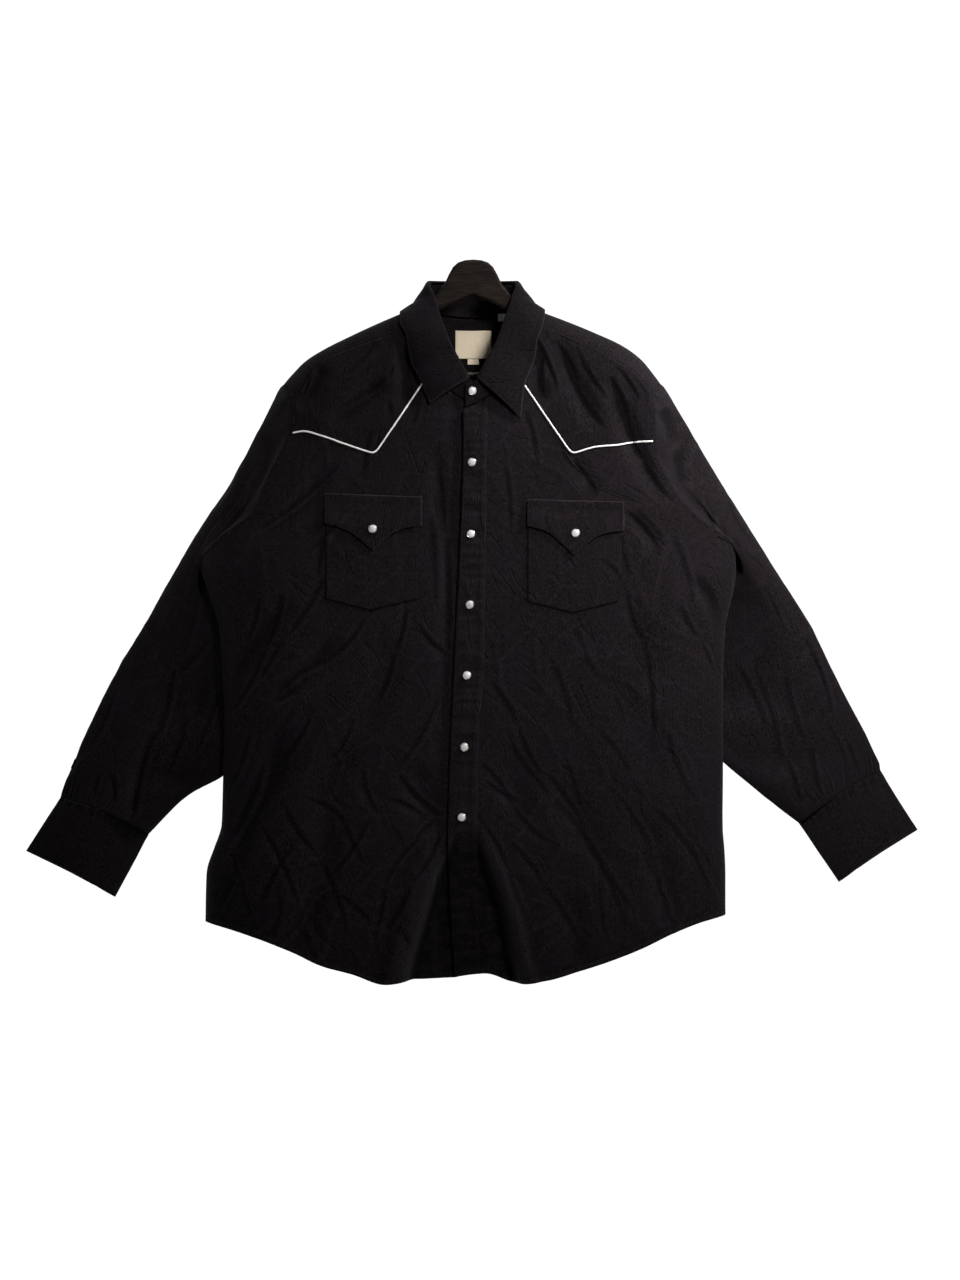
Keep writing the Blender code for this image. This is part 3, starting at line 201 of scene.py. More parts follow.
# Sharper creases that only the finished cloth shows, fanning out from the last snap.
FRONT_CREASES = table(FOLD, (
    (-193, -139, -206, -168, 2, 2.9, 2),
    (-93, -128, -99, -144, 0, 2.9, 1.5),
    (-100, -168, -96, -189, 0, 2.9, 1.5),
    (-100, -142, -160, -180, 3, 3.6, 1.7),
    (-158, -248, -176, -264, 1, 2.9, 1.5),
    (-176, -264, -262, -329, 4, 3.6, 2.4),
    (-150, -300, -196, -352, 4, 3.6, 1.5),
    (-173, -329, -181, -381, -2, 3.6, 1.7),
    (-60, -150, -74, -205, 2, 4.3, 1.4),
    (-120, -205, -128, -262, -2, 4.3, 1.2),
    (-40, -250, -34, -330, 2, 3.6, 1.5),
    (-30, -330, -28, -470, 2, 3.6, 1.7),
    (-224, -400, -245, -465, 4, 3.6, 2.9),
    (-245, -465, -289, -543, 5, 3.6, 3.1),
    (-176, -383, -222, -452, 4, 2.9, 1.9),
    (-222, -452, -265, -513, 3, 2.9, 2),
    (-128, -430, -172, -480, 5, 2.9, 1.9),
    (-172, -480, -230, -519, -5, 2.9, 2),
    (-78, -412, -92, -470, 3, 2.9, 2.2),
    (-92, -470, -114, -531, 3, 2.9, 2.4),
    (-63, -436, -27, -472, -4, 2.9, 2.2),
    (-52, -300, -44, -420, 3, 5, 1.2),
    (-40, -520, -92, -610, 5, 4.3, 1.4),
    (-251, -404, -268, -458, 3, 2.9, 1.7),
    (-212, -514, -235, -528, 2, 2.9, 1.5),
    (-190, -540, -224, -600, 3, 2.9, 1.9),
    (-140, -545, -170, -600, 4, 2.9, 1.5),
    (-262, -560, -296, -640, 5, 4.3, 2.9),
    (-87, -612, -33, -662, -5, 3.6, 3.2),
    (-100, -640, -52, -668, 4, 2.9, 2.4),
    (-70, -690, -38, -664, 3, 2.9, 2),
    (-123, -668, -176, -740, 5, 2.9, 2.2),
    (-39, -684, -72, -742, 4, 3.6, 2.9),
    (-72, -742, -104, -800, 3, 3.6, 2.5),
    (-62, -688, -104, -744, -4, 2.9, 2),
    (-104, -744, -116, -806, 3, 2.9, 1.9),
    (-247, -597, -307, -716, 8, 5.8, 3.6),
    (-253, -668, -206, -769, 5, 2.9, 2),
    (-226, -640, -180, -712, -4, 2.9, 1.9),
    (-180, -712, -148, -800, 4, 2.9, 2),
    (-196, -640, -150, -668, 4, 2.9, 1.7),
    (-150, -668, -128, -716, -3, 2.9, 1.7),
    (-290, -700, -262, -782, 3, 3.6, 1.9),
    (-160, -752, -118, -790, 3, 2.9, 1.7),
    (-130, -606, -112, -660, -3, 2.9, 1.7),
    (-206, -690, -250, -770, -5, 4.3, 1.9),
    (-86, -792, -66, -838, 2, 3.6, 2.2),
    (-222, -740, -236, -806, 2, 2.9, 1.5),
    (84, -114, 83, -168, -3, 3.6, 2.5),
    (70, -90, 100, -160, 3, 3.6, 3.4),
    (-76, -86, -62, -158, -3, 3.6, 3.8),
    (96, -96, 128, -156, 3, 3.6, 2.5),
    (122, -104, 162, -172, -4, 3.6, 2.2),
    (-84, -98, -76, -150, 2, 3.6, 2.2),
    (-112, -96, -150, -140, 3, 4.3, 1.7),
    (108, -122, 158, -206, -5, 4.3, 2.7),
    (161, -141, 184, -193, 3, 3.6, 3.2),
    (184, -193, 201, -241, -3, 3.6, 3.4),
    (201, -241, 231, -287, -2, 4.3, 2.7),
    (168, -128, 197, -173, 3, 3.6, 2.2),
    (118, -241, 148, -285, 2, 3.6, 1.7),
    (180, -302, 222, -353, 5, 3.6, 2.2),
    (60, -180, 76, -252, 3, 4.3, 1.4),
    (36, -240, 44, -330, 3, 4.3, 1.2),
    (150, -356, 176, -384, 2, 2.9, 1.5),
    (176, -330, 187, -380, -2, 2.9, 1.9),
    (183, -396, 202, -452, -4, 2.9, 2.4),
    (202, -452, 214, -573, 4, 2.9, 2.5),
    (246, -412, 268, -452, -3, 2.9, 2.2),
    (268, -452, 292, -512, 3, 2.9, 2),
    (20, -501, 54, -556, 3, 2.9, 1.7),
    (54, -556, 86, -620, -3, 2.9, 1.7),
    (88, -470, 120, -560, 4, 4.3, 1.2),
    (120, -430, 150, -500, -4, 4.3, 1),
    (236, -330, 262, -420, 4, 5, 1.7),
    (150, -560, 186, -612, 3, 2.9, 1.4),
    (230, -560, 262, -640, -5, 4.3, 1.5),
    (44, -573, 96, -640, -3, 2.9, 2),
    (96, -640, 151, -716, 3, 2.9, 2),
    (8, -597, 48, -650, 4, 2.9, 2.2),
    (48, -650, 92, -692, -4, 2.9, 2),
    (86, -609, 134, -680, 3, 2.9, 2),
    (134, -680, 187, -769, -3, 2.9, 2),
    (163, -627, 211, -698, 3, 2.9, 1.7),
    (14, -618, 56, -644, -3, 2.9, 2.5),
    (10, -668, 42, -726, 3, 3.6, 2.2),
    (42, -726, 68, -790, -2, 3.6, 2),
    (44, -692, 84, -742, 3, 2.9, 1.9),
    (84, -742, 127, -812, 3, 2.9, 1.9),
    (133, -692, 181, -787, 4, 2.9, 1.9),
    (213, -650, 270, -722, 4, 2.9, 1.7),
    (216, -716, 238, -790, -3, 2.9, 1.5),
    (250, -690, 284, -760, 3, 3.6, 1.4),
    (150, -740, 160, -812, -2, 2.9, 1.4),
    (110, -600, 128, -648, 2, 2.9, 1.2),
))
# Below the last snap both fronts fold forward and leave a sunk middle between these edges.
HOLLOW = table("z right left depth", (
    (-861, -82, 57, 15),
    (-824, -73, 48, 15),
    (-780, -60, 39, 13),
    (-741, -50, 27, 9),
    (-700, -32, 13, 4),
    (-670, -24, 8, 0),
))
# Lower edge of the two fronts against x.
HEM = table("x z", (
    (-319, -789),
    (-287, -797),
    (-249, -809),
    (-211, -824),
    (-173, -841),
    (-134, -851),
    (-101, -861),
    (-77, -857),
    (-39, -856),
    (-1, -851),
    (18, -850),
    (37, -854),
    (56, -861),
    (75, -859),
    (113, -849),
    (151, -837),
    (189, -823),
    (227, -805),
    (265, -790),
    (301, -781),
))
# Neckline, from the middle of the front round to the middle of the back.
NECK_FRONT = table("x z", (
    (-11, -181.5),
    (0, -177),
    (15, -168.5),
    (33, -156.5),
    (50, -136.6),
    (59, -121),
    (65, -104),
    (68.3, -84),
))
# Armhole, from the shoulder's top down the front to the armpit and up the back.
# face is 1 on the front, -1 on the back, 0 where the seam crosses the shoulder or side line.
ARMHOLE = table("right_x right_z left_x left_z face", (
    (226, -149, 224, -149, 0),
    (218, -158.5, 216, -157.5, 1),
    (212, -170, 209, -166, 1),
    (211.5, -190, 212, -193, 1),
    (213, -209, 212.5, -219, 1),
    (223, -233, 212.5, -236, 1),
    (236, -258, 222, -257, 1),
    (245, -282, 236, -282, 1),
    (256, -305, 255, -305, 1),
    (275, -320, 274, -320, 1),
    (299, -338, 295, -334, 1),
    (325, -366, 312, -345, 0),
    (301, -342, 292, -327, -1),
    (280, -320, 273, -308, -1),
    (262, -296, 257, -286, -1),
    (247, -268, 244, -262, -1),
    (232, -236, 231, -234, -1),
    (221, -200, 220, -200, -1),
    (217, -179, 216, -179, -1),
    (218, -164, 217, -164, -1),
    (222, -154, 220.5, -154.5, -1),
))
# Rows of the armhole's ring where a seam meets it.
SHOULDER, FORWARD, PIPED, ARMPIT, YOKED = 0, 2, 4, 11, 17
# Piped seam between front yoke and front, from the neck by the point to the armhole.
PIPED_SEAM = table("right_x right_z left_x left_z", (
    (50, -136.6, 50, -136.6),
    (66, -160.2, 67, -162),
    (91, -197.3, 92, -198.5),
    (116, -234.4, 116.6, -234.3),
    (147, -224, 146, -225.7),
    (178, -213, 171.4, -223.6),
    (200, -207, 193, -219.5),
    (213, -209, 212.5, -219),
))
BAND_TOP, BAND_END = -182.0, -848.5
# Left and right edges of the front band against height.
BAND = table("z outer inner", (
    (-850, -21, 9.5),
    (-684, -29, 5),
    (-573, -26, 7),
    (-487, -22, 13),
    (-204, -11, 17),
    (-181, -11, 18),
))


def through(xs, ys, x):
    """A smooth curve through the rows that never overshoots them."""
    x = np.clip(x, xs[0], xs[-1])
    wide = (-1,) + (1,) * (ys.ndim - 1)
    step = np.diff(xs).reshape(wide)
    slope = np.diff(ys, axis=0) / step
    before, after = slope[:-1], slope[1:]
    same = before * after > 0
    middle = np.where(same, 2 * before * after / np.where(same, before + after, 1), 0)
    tangent = np.concatenate([slope[:1], middle, slope[-1:]])
    i = np.clip(np.searchsorted(xs, x, side="right") - 1, 0, len(xs) - 2)
    t = ((x - xs[i]) / (xs[i + 1] - xs[i])).reshape(np.shape(x) + (1,) * (ys.ndim - 1))
    curve = ys[i] + (3 * t**2 - 2 * t**3) * (ys[i + 1] - ys[i])
    bend = (t**3 - 2 * t**2 + t) * tangent[i] + (t**3 - t**2) * tangent[i + 1]
    return curve + step[i] * bend if ys.ndim > 1 else curve + np.diff(xs)[i] * bend


def sided(rows, key, x, at):
    """The right or left column of a table, by the side of the body that x is on."""
    right, left = (through(rows[key], rows[name], at) for name in ("right", "left"))
    return np.where(x < 0, right, left)


def ridge(x):
    """Height of the shoulder line at x."""
    return sided(RIDGE, "x", x, np.abs(x))


def rim(inward, reach):
    """0 at the edge of a rounded sheet, 1 once it is flat."""
    share = np.clip(inward / reach, 0, 1)
    return np.sqrt(np.clip(1 - (1 - share) ** 2, 0, 1))


def soft_step(value):
    """0 below 0, 1 above 1 and a smooth rise between."""
    value = np.clip(value, 0, 1)
    return value * value * (3 - 2 * value)


SHARP = 1.2  # exponent of a crease's section; a soft fold has 2


def folds(rows, x, z, sharpness=2.0):
    """Depth of straight or bowed folds, laid one by one; the sharp ones raise a lip beside them."""
    total = np.zeros(np.broadcast(x, z).shape)
    for x1, z1, x2, z2, bow, width, depth in zip(*rows.values()):
        run, fall = x2 - x1, z2 - z1
        length = math.hypot(run, fall)
        along = ((x - x1) * run + (z - z1) * fall) / length**2
        across = ((z - z1) * run - (x - x1) * fall) / length
        across = across - 4 * bow * along * (1 - along)
        if sharpness < 2:
            ends = np.clip(4 * along * (1 - along), 0, 1) ** 0.8
            steep = across / width * np.where(across > 0, 1.6, 0.62)
            shape = np.exp(-(np.abs(steep) ** sharpness)) - 0.4 * np.exp(-((steep - 2) ** 2))
        else:
            ends = soft_step(along * 3) * soft_step((1 - along) * 3)
            shape = np.exp(-((across / width) ** 2))
        total = total + depth * ends * shape
    return total


def hollow_edges(z):
    """x of the two forward folds at the hem."""
    return [through(HOLLOW["z"], HOLLOW[name], z) for name in ("right", "left")]


def sheltered(x, z):
    """1 in the middle that the two forward folds at the hem leave sunk, 0 outside it."""
    low, high = hollow_edges(z)
    return soft_step((x - low) / 11) * soft_step((high - x) / 9) * soft_step((-678 - z) / 40)


def hollow(x, z):
    """How far the cloth goes back there."""
    low, high = hollow_edges(z)
    depth = through(HOLLOW["z"], HOLLOW["depth"], z)
    inside = soft_step((x - low + 6) / 14) * soft_step((high - x + 4) / 11)
    lip = 0.6 * np.exp(-(((x - low + 15) / 12) ** 2)) + np.exp(-(((x - high - 12) / 10) ** 2))
    ripple = 1.3 * rumple(x / 26, z / 9, 61) + 1.4 * rumple(x / 12, z / 13, 62)
    return depth * (inside - 0.6 * lip) + sheltered(x, z) * (13 + 1.6 * ripple)


def rumple(x, z, seed):
    """Smooth random heights from -1 to 1, about one bump for each unit of x and z.

    The heights at whole numbers come from the digits far behind the point of a large sine,
    so that they are the same each time; the constants in it only have to be large and odd.
    """
    column, row = np.floor(x), np.floor(z)
    across, down = soft_step(x - column), soft_step(z - row)
    corners = []
    for right, up in ((0, 0), (1, 0), (0, 1), (1, 1)):
        wave = np.sin((column + right) * 127.1 + (row + up) * 311.7 + seed * 74.7) * 43758.5453
        corners.append(2 * (wave - np.floor(wave)) - 1)
    low = corners[0] + (corners[1] - corners[0]) * across
    high = corners[2] + (corners[3] - corners[2]) * across
    return low + (high - low) * down


def crumple(x, z, seed):
    """Height (mm) of the small creases that worn cotton keeps: thin wandering ridges."""
    total = 1.1 * rumple(x / 85, z / 120, seed + 3)
    for depth, turn, size in (
        (1.1, 0.5, 58), (0.9, -0.65, 37), (0.6, 1.1, 22), (0.35, 0.35, 15), (0.3, -0.5, 13)
    ):
        across = (x * math.cos(turn) + z * math.sin(turn)) / size
        along = (z * math.cos(turn) - x * math.sin(turn)) / (size * 2.2)
        wander = 0.55 * rumple(across * 0.8 + 7, along * 1.6, seed + 9)
        ridges = 1 - np.abs(rumple(across + wander, along, seed + size))
        total = total + depth * (ridges**7 - 0.15)
    return total


def seam_y(z):
    return through(DEPTHS["z"], DEPTHS["seam"], z)


def body_y(x, z, face):
    """Depth of the outside of the front (face 1) or back (face -1) at x, z."""
    x, z, face = np.broadcast_arrays(np.asarray(x, float), z, face)
    side = sided(SIDES, "z", x, z)
    shape = rim(side - np.abs(x), SIDE_REACH) * rim(ridge(x) - z, RIDGE_ROLL)
    near_neck = np.exp(-((x / 72) ** 2)) * soft_step((z + 330) / 130)
    front, back = (
        through(DEPTHS["z"], DEPTHS[word], z) + NECK_ROOM[word] * near_neck
        for word in ("front", "back")
    )
    fade = soft_step((side - np.abs(x)) / 30) * soft_step((ridge(x) - z) / 30)
    low_down = 1 - soft_step((z - HEM_LOW) / 260)
    crease = 1.15 * folds(FRONT_CREASES, x, z, SHARP) - (0.7 + 0.5 * low_down) * crumple(x, z, 1)
    front = front * shape - (folds(FRONT_FOLDS, x, z) + crease + hollow(x, z)) * fade
    wrinkled = folds(BACK_CREASES, x, z, SHARP) - 0.6 * crumple(x, z, 40)
    back = back * shape - (0.8 * folds(BACK_FOLDS, x, z) + wrinkled) * fade
    return seam_y(z) + np.where(face > 0, -front, np.where(face < 0, back, 0))


def body_points(x, z, face):
    """Points on the outside of the body's front or back at x, z."""
    x, z = np.broadcast_arrays(np.asarray(x, float), np.asarray(z, float))
    return np.stack([x, body_y(x, z, face), z], -1)


def finer(grid, down, across):
    """The same grid with each stretch cut into down rows and across columns, on smooth curves."""
    for axis, cuts in ((0, down), (1, across)):
        points = np.moveaxis(grid, axis, 0)
        place = np.arange(len(points), dtype=float)
        at = np.linspace(0, len(points) - 1, cuts * (len(points) - 1) + 1)
        grid = np.moveaxis(through(place, points, at), 0, axis)
    return grid


def normals_of(grid, loop=False):
    """Unit normals of a grid of points; rows run down and columns to +X on the front."""
    wide = np.concatenate([grid[:, -2:-1], grid, grid[:, 1:2]], axis=1) if loop else grid
    across = np.gradient(wide, axis=1)
    across = across[:, 1:-1] if loop else across
    normal = np.cross(np.gradient(grid, axis=0), across)
    return normal / np.maximum(np.linalg.norm(normal, axis=-1, keepdims=True), 1e-9)


def filled_panel(top, bottom, start, end, u, v):
    """A grid filled in between four edges: rows run from top to bottom."""
    u, v = u[None, :, None], v[:, None, None]
    ruled = (1 - v) * top[None] + v * bottom[None] + (1 - u) * start[:, None] + u * end[:, None]
    corners = (1 - u) * (1 - v) * top[0] + u * (1 - v) * top[-1]
    return ruled - corners - (1 - u) * v * bottom[0] - u * v * bottom[-1]


def run_along(points, axis=0):
    """Length along a line or grid of points, from its first row or, with axis 1, column."""
    steps = np.linalg.norm(np.diff(points, axis=axis), axis=-1)
    start = np.zeros_like(np.take(steps, [0], axis=axis))
    return np.concatenate([start, np.cumsum(steps, axis=axis)], axis=axis)


def seam(rows, side):
    """x, z of a seam that a table gives for each side."""
    name = "right" if side == RIGHT else "left"
    return np.stack([side * rows[f"{name}_x"], rows[f"{name}_z"]], -1)


def armhole(side):
    """The ring of points where sleeve and body meet."""
    x, z = seam(ARMHOLE, side).T.copy()
    z[SHOULDER] = ridge(x[SHOULDER])
    return body_points(x, z, ARMHOLE["face"])


def flat(points):
    """x, z of points."""
    return points[..., [0, 2]]


def side_line(side, top, bottom, count):
    """x, z down a side seam, the top point left out."""
    z = np.linspace(top, bottom, count + 1)[1:]
    return np.stack([side * sided(SIDES, "z", side * np.ones_like(z), z), z], -1)


def panel_row(start, end, count):
    """x of one row: columns crowd towards the side seam at its end."""
    outer = end - np.sign(end - start) * SIDE_STEPS[::-1]
    return np.concatenate([np.linspace(start, outer[0], count - 5)[:-1], outer])


def panel_plan(top, start, end, waist):
    """x, z of a panel that runs from its middle to one side seam, waist rows down to the armpit."""
    count = len(top)
    low_x = panel_row(start[waist - 1, 0], end[waist - 1, 0], count)
    share = np.linspace(0, 1, count)
    low_z = start[waist - 1, 1] + share**1.5 * (end[waist - 1, 1] - start[waist - 1, 1])
    low = np.stack([low_x, low_z], -1)
    u = np.abs(low_x - low_x[0]) / abs(low_x[-1] - low_x[0])
    v = (end[:waist, 1] - end[0, 1]) / (end[waist - 1, 1] - end[0, 1])
    rows = list(filled_panel(top, low, start[:waist], end[:waist], u, v))
    for row in range(waist, len(end)):
        x = panel_row(start[row, 0], end[row, 0], count)
        fall = (end[row, 1] - end[waist - 1, 1]) / (end[-1, 1] - end[waist - 1, 1])
        z = low_z + fall * (through(HEM["x"], HEM["z"], x) - low_z)
        rows.append(np.stack([x, z], -1))
    return np.array(rows)


def front_plan(side):
    """x, z of one front: rows down from the yoke seam, columns from the centre edge out."""
    ring = armhole(side)
    edge_top = BAND["outer"][-1] if side == LEFT else -BAND["outer"][-1] + 2
    neck_x = np.array([edge_top * side, 3.0, 18.0, 34.0])
    neck_z = through(NECK_FRONT["x"], NECK_FRONT["z"], np.array([-11.0, 3, 18, 34]))
    neck = np.stack([side * neck_x, neck_z], -1)
    top = np.concatenate([neck, seam(PIPED_SEAM, side)])
    waist = flat(ring[PIPED : ARMPIT + 1])
    corner_z = HEM["z"][0] if side == RIGHT else HEM["z"][-1]
    end = np.concatenate([waist, side_line(side, waist[-1, 1], corner_z, 14)])
    v = (end[:, 1] - end[0, 1]) / (end[-1, 1] - end[0, 1])
    start_z = top[0, 1] + v * (BAND_END - top[0, 1])
    if side == LEFT:
        start_x = through(BAND["z"], BAND["outer"], start_z)
    else:
        start_x = through(BAND["z"], BAND["inner"], start_z) - 4
    start = np.stack([start_x, start_z], -1)
    start[0] = top[0]
    return panel_plan(top, start, end, len(waist))


def edge_near(grid, edges):
    """How near each point is to the named edges: 1 on them, 0 from 1.7 mm inwards."""
    near = np.zeros(grid.shape[:2])
    for edge in edges.split():
        axis = 0 if edge in ("top", "bottom") else 1
        way = -1 if edge in ("bottom", "end") else 1
        away = run_along(np.moveaxis(grid, axis, 0)[::way])[::way]
        near = np.maximum(near, np.moveaxis(1 - soft_step((away - 0.3) / 1.4), 0, axis))
    return near


panels, faces_out = {}, {}  # each piece's points, and the sign of its way out


def relief(grid, outward_ways, loop):
    """-1 in the valleys of a grid, 1 on its ridges, against the points 3 mm or so around."""
    level = grid
    for _ in range(3):
        rows = np.concatenate([level[:1], level, level[-1:]])
        level = (rows[:-2] + 2 * rows[1:-1] + rows[2:]) / 4
        first, last = (level[:, -2:-1], level[:, 1:2]) if loop else (level[:, :1], level[:, -1:])
        columns = np.concatenate([first, level, last], axis=1)
        level = (columns[:, :-2] + 2 * columns[:, 1:-1] + columns[:, 2:]) / 4
    return np.clip(((grid - level) * outward_ways).sum(-1) / 0.3, -1, 1)


def placed(name, mesh):
    """A new piece at the origin, carried by the one body."""
    piece = bpy.data.objects.new(name, mesh)
    bpy.context.scene.collection.objects.link(piece)
    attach(piece, "root")
    return piece


def sew(name, grid, wall, finish, flip=False, loop=False, wear_and_highlight="", lean=0, dark=0):
    """One cut piece from a grid of points, with its wall inwards and its own cloth maps.

    worn names the edges that are drawn paler, partly abrasion and partly painted highlight,
    lean is the slant in degrees of its fine creases, and dark, from 0 to 1 or more, is how
    much painted shade it gets; it goes into the relief map, which also paints shade into the
    valleys and light onto the ridges.
    """
    faces_out[name.rsplit("_", 1)[0]] = 1 if flip else -1
    rows, columns = grid.shape[:2]
    mesh = bpy.data.meshes.new(name)
    places = np.arange(rows * columns).reshape(rows, columns)
    index = places.copy()
    if loop:
        index[:, -1] = index[:, 0]
    quads, corners = (
        np.stack([at[:-1, :-1], at[:-1, 1:], at[1:, 1:], at[1:, :-1]], -1).reshape(-1, 4)
        for at in (index, places)
    )
    if flip:
        quads, corners = quads[:, ::-1], corners[:, ::-1]
    across, down = run_along(grid, axis=1), run_along(grid)
    across -= across[:, columns // 2 : columns // 2 + 1]
    if loop:
        across = np.broadcast_to(across.mean(axis=0), (rows, columns))
        down = np.broadcast_to(down.mean(axis=1, keepdims=True), (rows, columns))
    used, renumbered = np.unique(quads, return_inverse=True)
    mesh.from_pydata(grid.reshape(-1, 3)[used] / 1000, [], renumbered.reshape(-1, 4).tolist())
    weave = np.stack([across, -down], -1).reshape(-1, 2)[corners.reshape(-1)] / 1000
    mesh.uv_layers.new(name="cloth").data.foreach_set("uv", weave.reshape(-1))
    turn = math.radians(lean)
    turned = np.array([[math.cos(turn), -math.sin(turn)], [math.sin(turn), math.cos(turn)]])
    apart = 0.37 * len(bpy.data.meshes)  # metres, so that no two pieces crease alike
    dragged = (weave @ turned.T + apart).reshape(-1)
    mesh.uv_layers.new(name="drag").data.foreach_set("uv", dragged)
    ways = normals_of(grid, loop) * (1 if flip else -1)
    # The relief map carries painted shade and light: darker in the valleys and where dark is set,
    # lighter on the ridges.
    heights = mesh.attributes.new("relief", "FLOAT", "POINT")
    inner = 1 - edge_near(grid, "top bottom" if loop else "top bottom start end")
    level = relief(grid, ways, loop) * inner * (1 - 0.5 * dark) - 0.9 * dark
    heights.data.foreach_set("value", level.reshape(-1)[used])
    # Edges drawn paler, partly abrasion and partly painted highlight.
    wear_and_highlight_map = mesh.attributes.new("wear_and_highlight", "FLOAT", "POINT")
    wear_and_highlight_map.data.foreach_set("value", edge_near(grid, wear_and_highlight).reshape(-1)[used])
    mesh.shade_smooth()
    mesh.materials.append(finish)
    piece = placed(name, mesh)
    thicken = piece.modifiers.new("wall", "SOLIDIFY")
    thicken.thickness = wall / 1000
    thicken.offset = -1
    thicken.use_rim = True
    return piece


def linear(hex_code):
    """An sRGB colour such as "1c1819" as linear red, green, blue and alpha."""
    parts = [int(hex_code[i : i + 2], 16) / 255 for i in (0, 2, 4)]
    return (*(c / 12.92 if c < 0.04045 else ((c + 0.055) / 1.055) ** 2.4 for c in parts), 1)


def add_node(tree, kind, settings=None, **inputs):
    """Adds a node and sets its properties and inputs.

    An input is a value, another node's socket, or a node, which gives its first live output;
    kind may also be a node that the tree already has.
    """
    node = tree.nodes.new(kind) if isinstance(kind, str) else kind
    for name, value in (settings or {}).items():
        setattr(node, name, value)
    for name, value in inputs.items():
        key = int(name[1:]) if name[0] == "_" else name.replace("_", " ")
        if isinstance(value, bpy.types.Node):
            value = next(socket for socket in value.outputs if socket.enabled)
        if isinstance(value, bpy.types.NodeSocket):
            tree.links.new(value, node.inputs[key])
        else:
            node.inputs[key].default_value = value
    return node


def new_finish(name, roughness, metallic=0.0, specular=0.5):
    """An empty material with its Principled shader: returns material, tree and shader."""
    material = bpy.data.materials.new(name)
    material.use_nodes = True
    tree = material.node_tree
    shader = tree.nodes["Principled BSDF"]
    shader.inputs["Roughness"].default_value = roughness
    shader.inputs["Metallic"].default_value = metallic
    shader.inputs["Specular IOR Level"].default_value = specular
    return material, tree, shader


# Lightweight cotton twill in near-black: woven, piece-dyed, soft and matt, warm-purple in the
# light. Dark and greyer yarns give a fine grain. Painted shade darkens the valleys, the fine
# creases and the sheltered parts, painted light brightens the ridges, and the edges are drawn
# paler, partly as abrasion and partly as painted highlight. The weave itself is too fine to
# show, so the grain is drawn as coarse as it needs to be seen.
GRAIN = 1.5 / 1000  # clumps of three or four threads, several times the real spacing
STREAK = 2.4 / 1000  # uneven yarns that run lengthwise
PATCH = 80 / 1000  # faint cloudiness of the dye
CREASE = 26 / 1000  # spacing of the fine wandering creases
CREASE_PATCH = 30 / 1000  # they come and go over this distance
COLOUR = {"data_type": "RGBA"}

twill, tree, shader = new_finish("black_cotton_twill", roughness=0.85, specular=0.04)
cloth_map = add_node(tree, "ShaderNodeUVMap", {"uv_map": "cloth"})
drag_map = add_node(tree, "ShaderNodeUVMap", {"uv_map": "drag"})
patterns = {}
for name, laid, stretch, size, detail, roughness, distortion in (
    ("grain", cloth_map, 2.6, GRAIN, 2.0, 0.7, 0.0),
    ("streaks", cloth_map, 22, STREAK, 2.0, 0.55, 0.0),
    ("patches", cloth_map, 1, PATCH, 3.0, 0.55, 0.0),
    ("creases", drag_map, 4.5, CREASE, 1.0, 0.5, 0.1),
    ("crease_patches", drag_map, 1.5, CREASE_PATCH, 1.0, 0.55, 0.0),
):
    stretched = add_node(tree, "ShaderNodeMapping", Vector=laid, Scale=(1, 1 / stretch, 1))
    patterns[name] = add_node(
        tree, "ShaderNodeTexNoise", {"noise_dimensions": "2D"},
        Vector=stretched, Scale=1 / size, Detail=detail, Roughness=roughness,
        Distortion=distortion,
    )
dyed = linear("070606")
for name, low, high, most, yarn in (
    ("grain", 0.4, 0.6, 1.0, "1d181a"),
    ("streaks", 0.4, 0.7, 0.5, "1c181a"),
    ("patches", 0.4, 0.7, 0.4, "17131a"),
):
    share = add_node(
        tree, "ShaderNodeMapRange", Value=patterns[name], _1=low, _2=high, _3=0, _4=most
    )
    dyed = add_node(tree, "ShaderNodeMix", COLOUR, _0=share, _6=dyed, _7=linear(yarn))
# Fine creases run where noise crosses its middle value, deeper in some places than others.
crossing = add_node(
    tree, "ShaderNodeMath", {"operation": "SUBTRACT"}, _0=patterns["creases"], _1=0.5
)
crossing = add_node(tree, "ShaderNodeMath", {"operation": "ABSOLUTE"}, _0=crossing)
line = add_node(tree, "ShaderNodeMapRange", Value=crossing, _1=0, _2=0.03, _3=1, _4=0)
strong = add_node(
    tree, "ShaderNodeMapRange", Value=patterns["crease_patches"], _1=0.45, _2=0.6
)
fine_crease = add_node(tree, "ShaderNodeMath", {"operation": "MULTIPLY"}, _0=line, _1=strong)
# Painted shade and light: the relief map darkens the valleys and the parts set dark, and lightens
# the ridges.
height = add_node(tree, "ShaderNodeAttribute", {"attribute_name": "relief"})
painted_light_and_shade = add_node(
    tree, "ShaderNodeMapRange", Value=height.outputs["Fac"], _1=-2, _2=1, _3=0.2, _4=1.25
)
# Painted shade along the fine creases.
sunk = add_node(tree, "ShaderNodeMapRange", Value=fine_crease, _3=1, _4=0.86)
painted_light_and_shade = add_node(tree, "ShaderNodeMath", {"operation": "MULTIPLY"}, _0=painted_light_and_shade, _1=sunk)
shaded = add_node(
    tree, "ShaderNodeMix", {"data_type": "RGBA", "blend_type": "MULTIPLY"},
    _0=1.0, _6=dyed, _7=painted_light_and_shade,
)
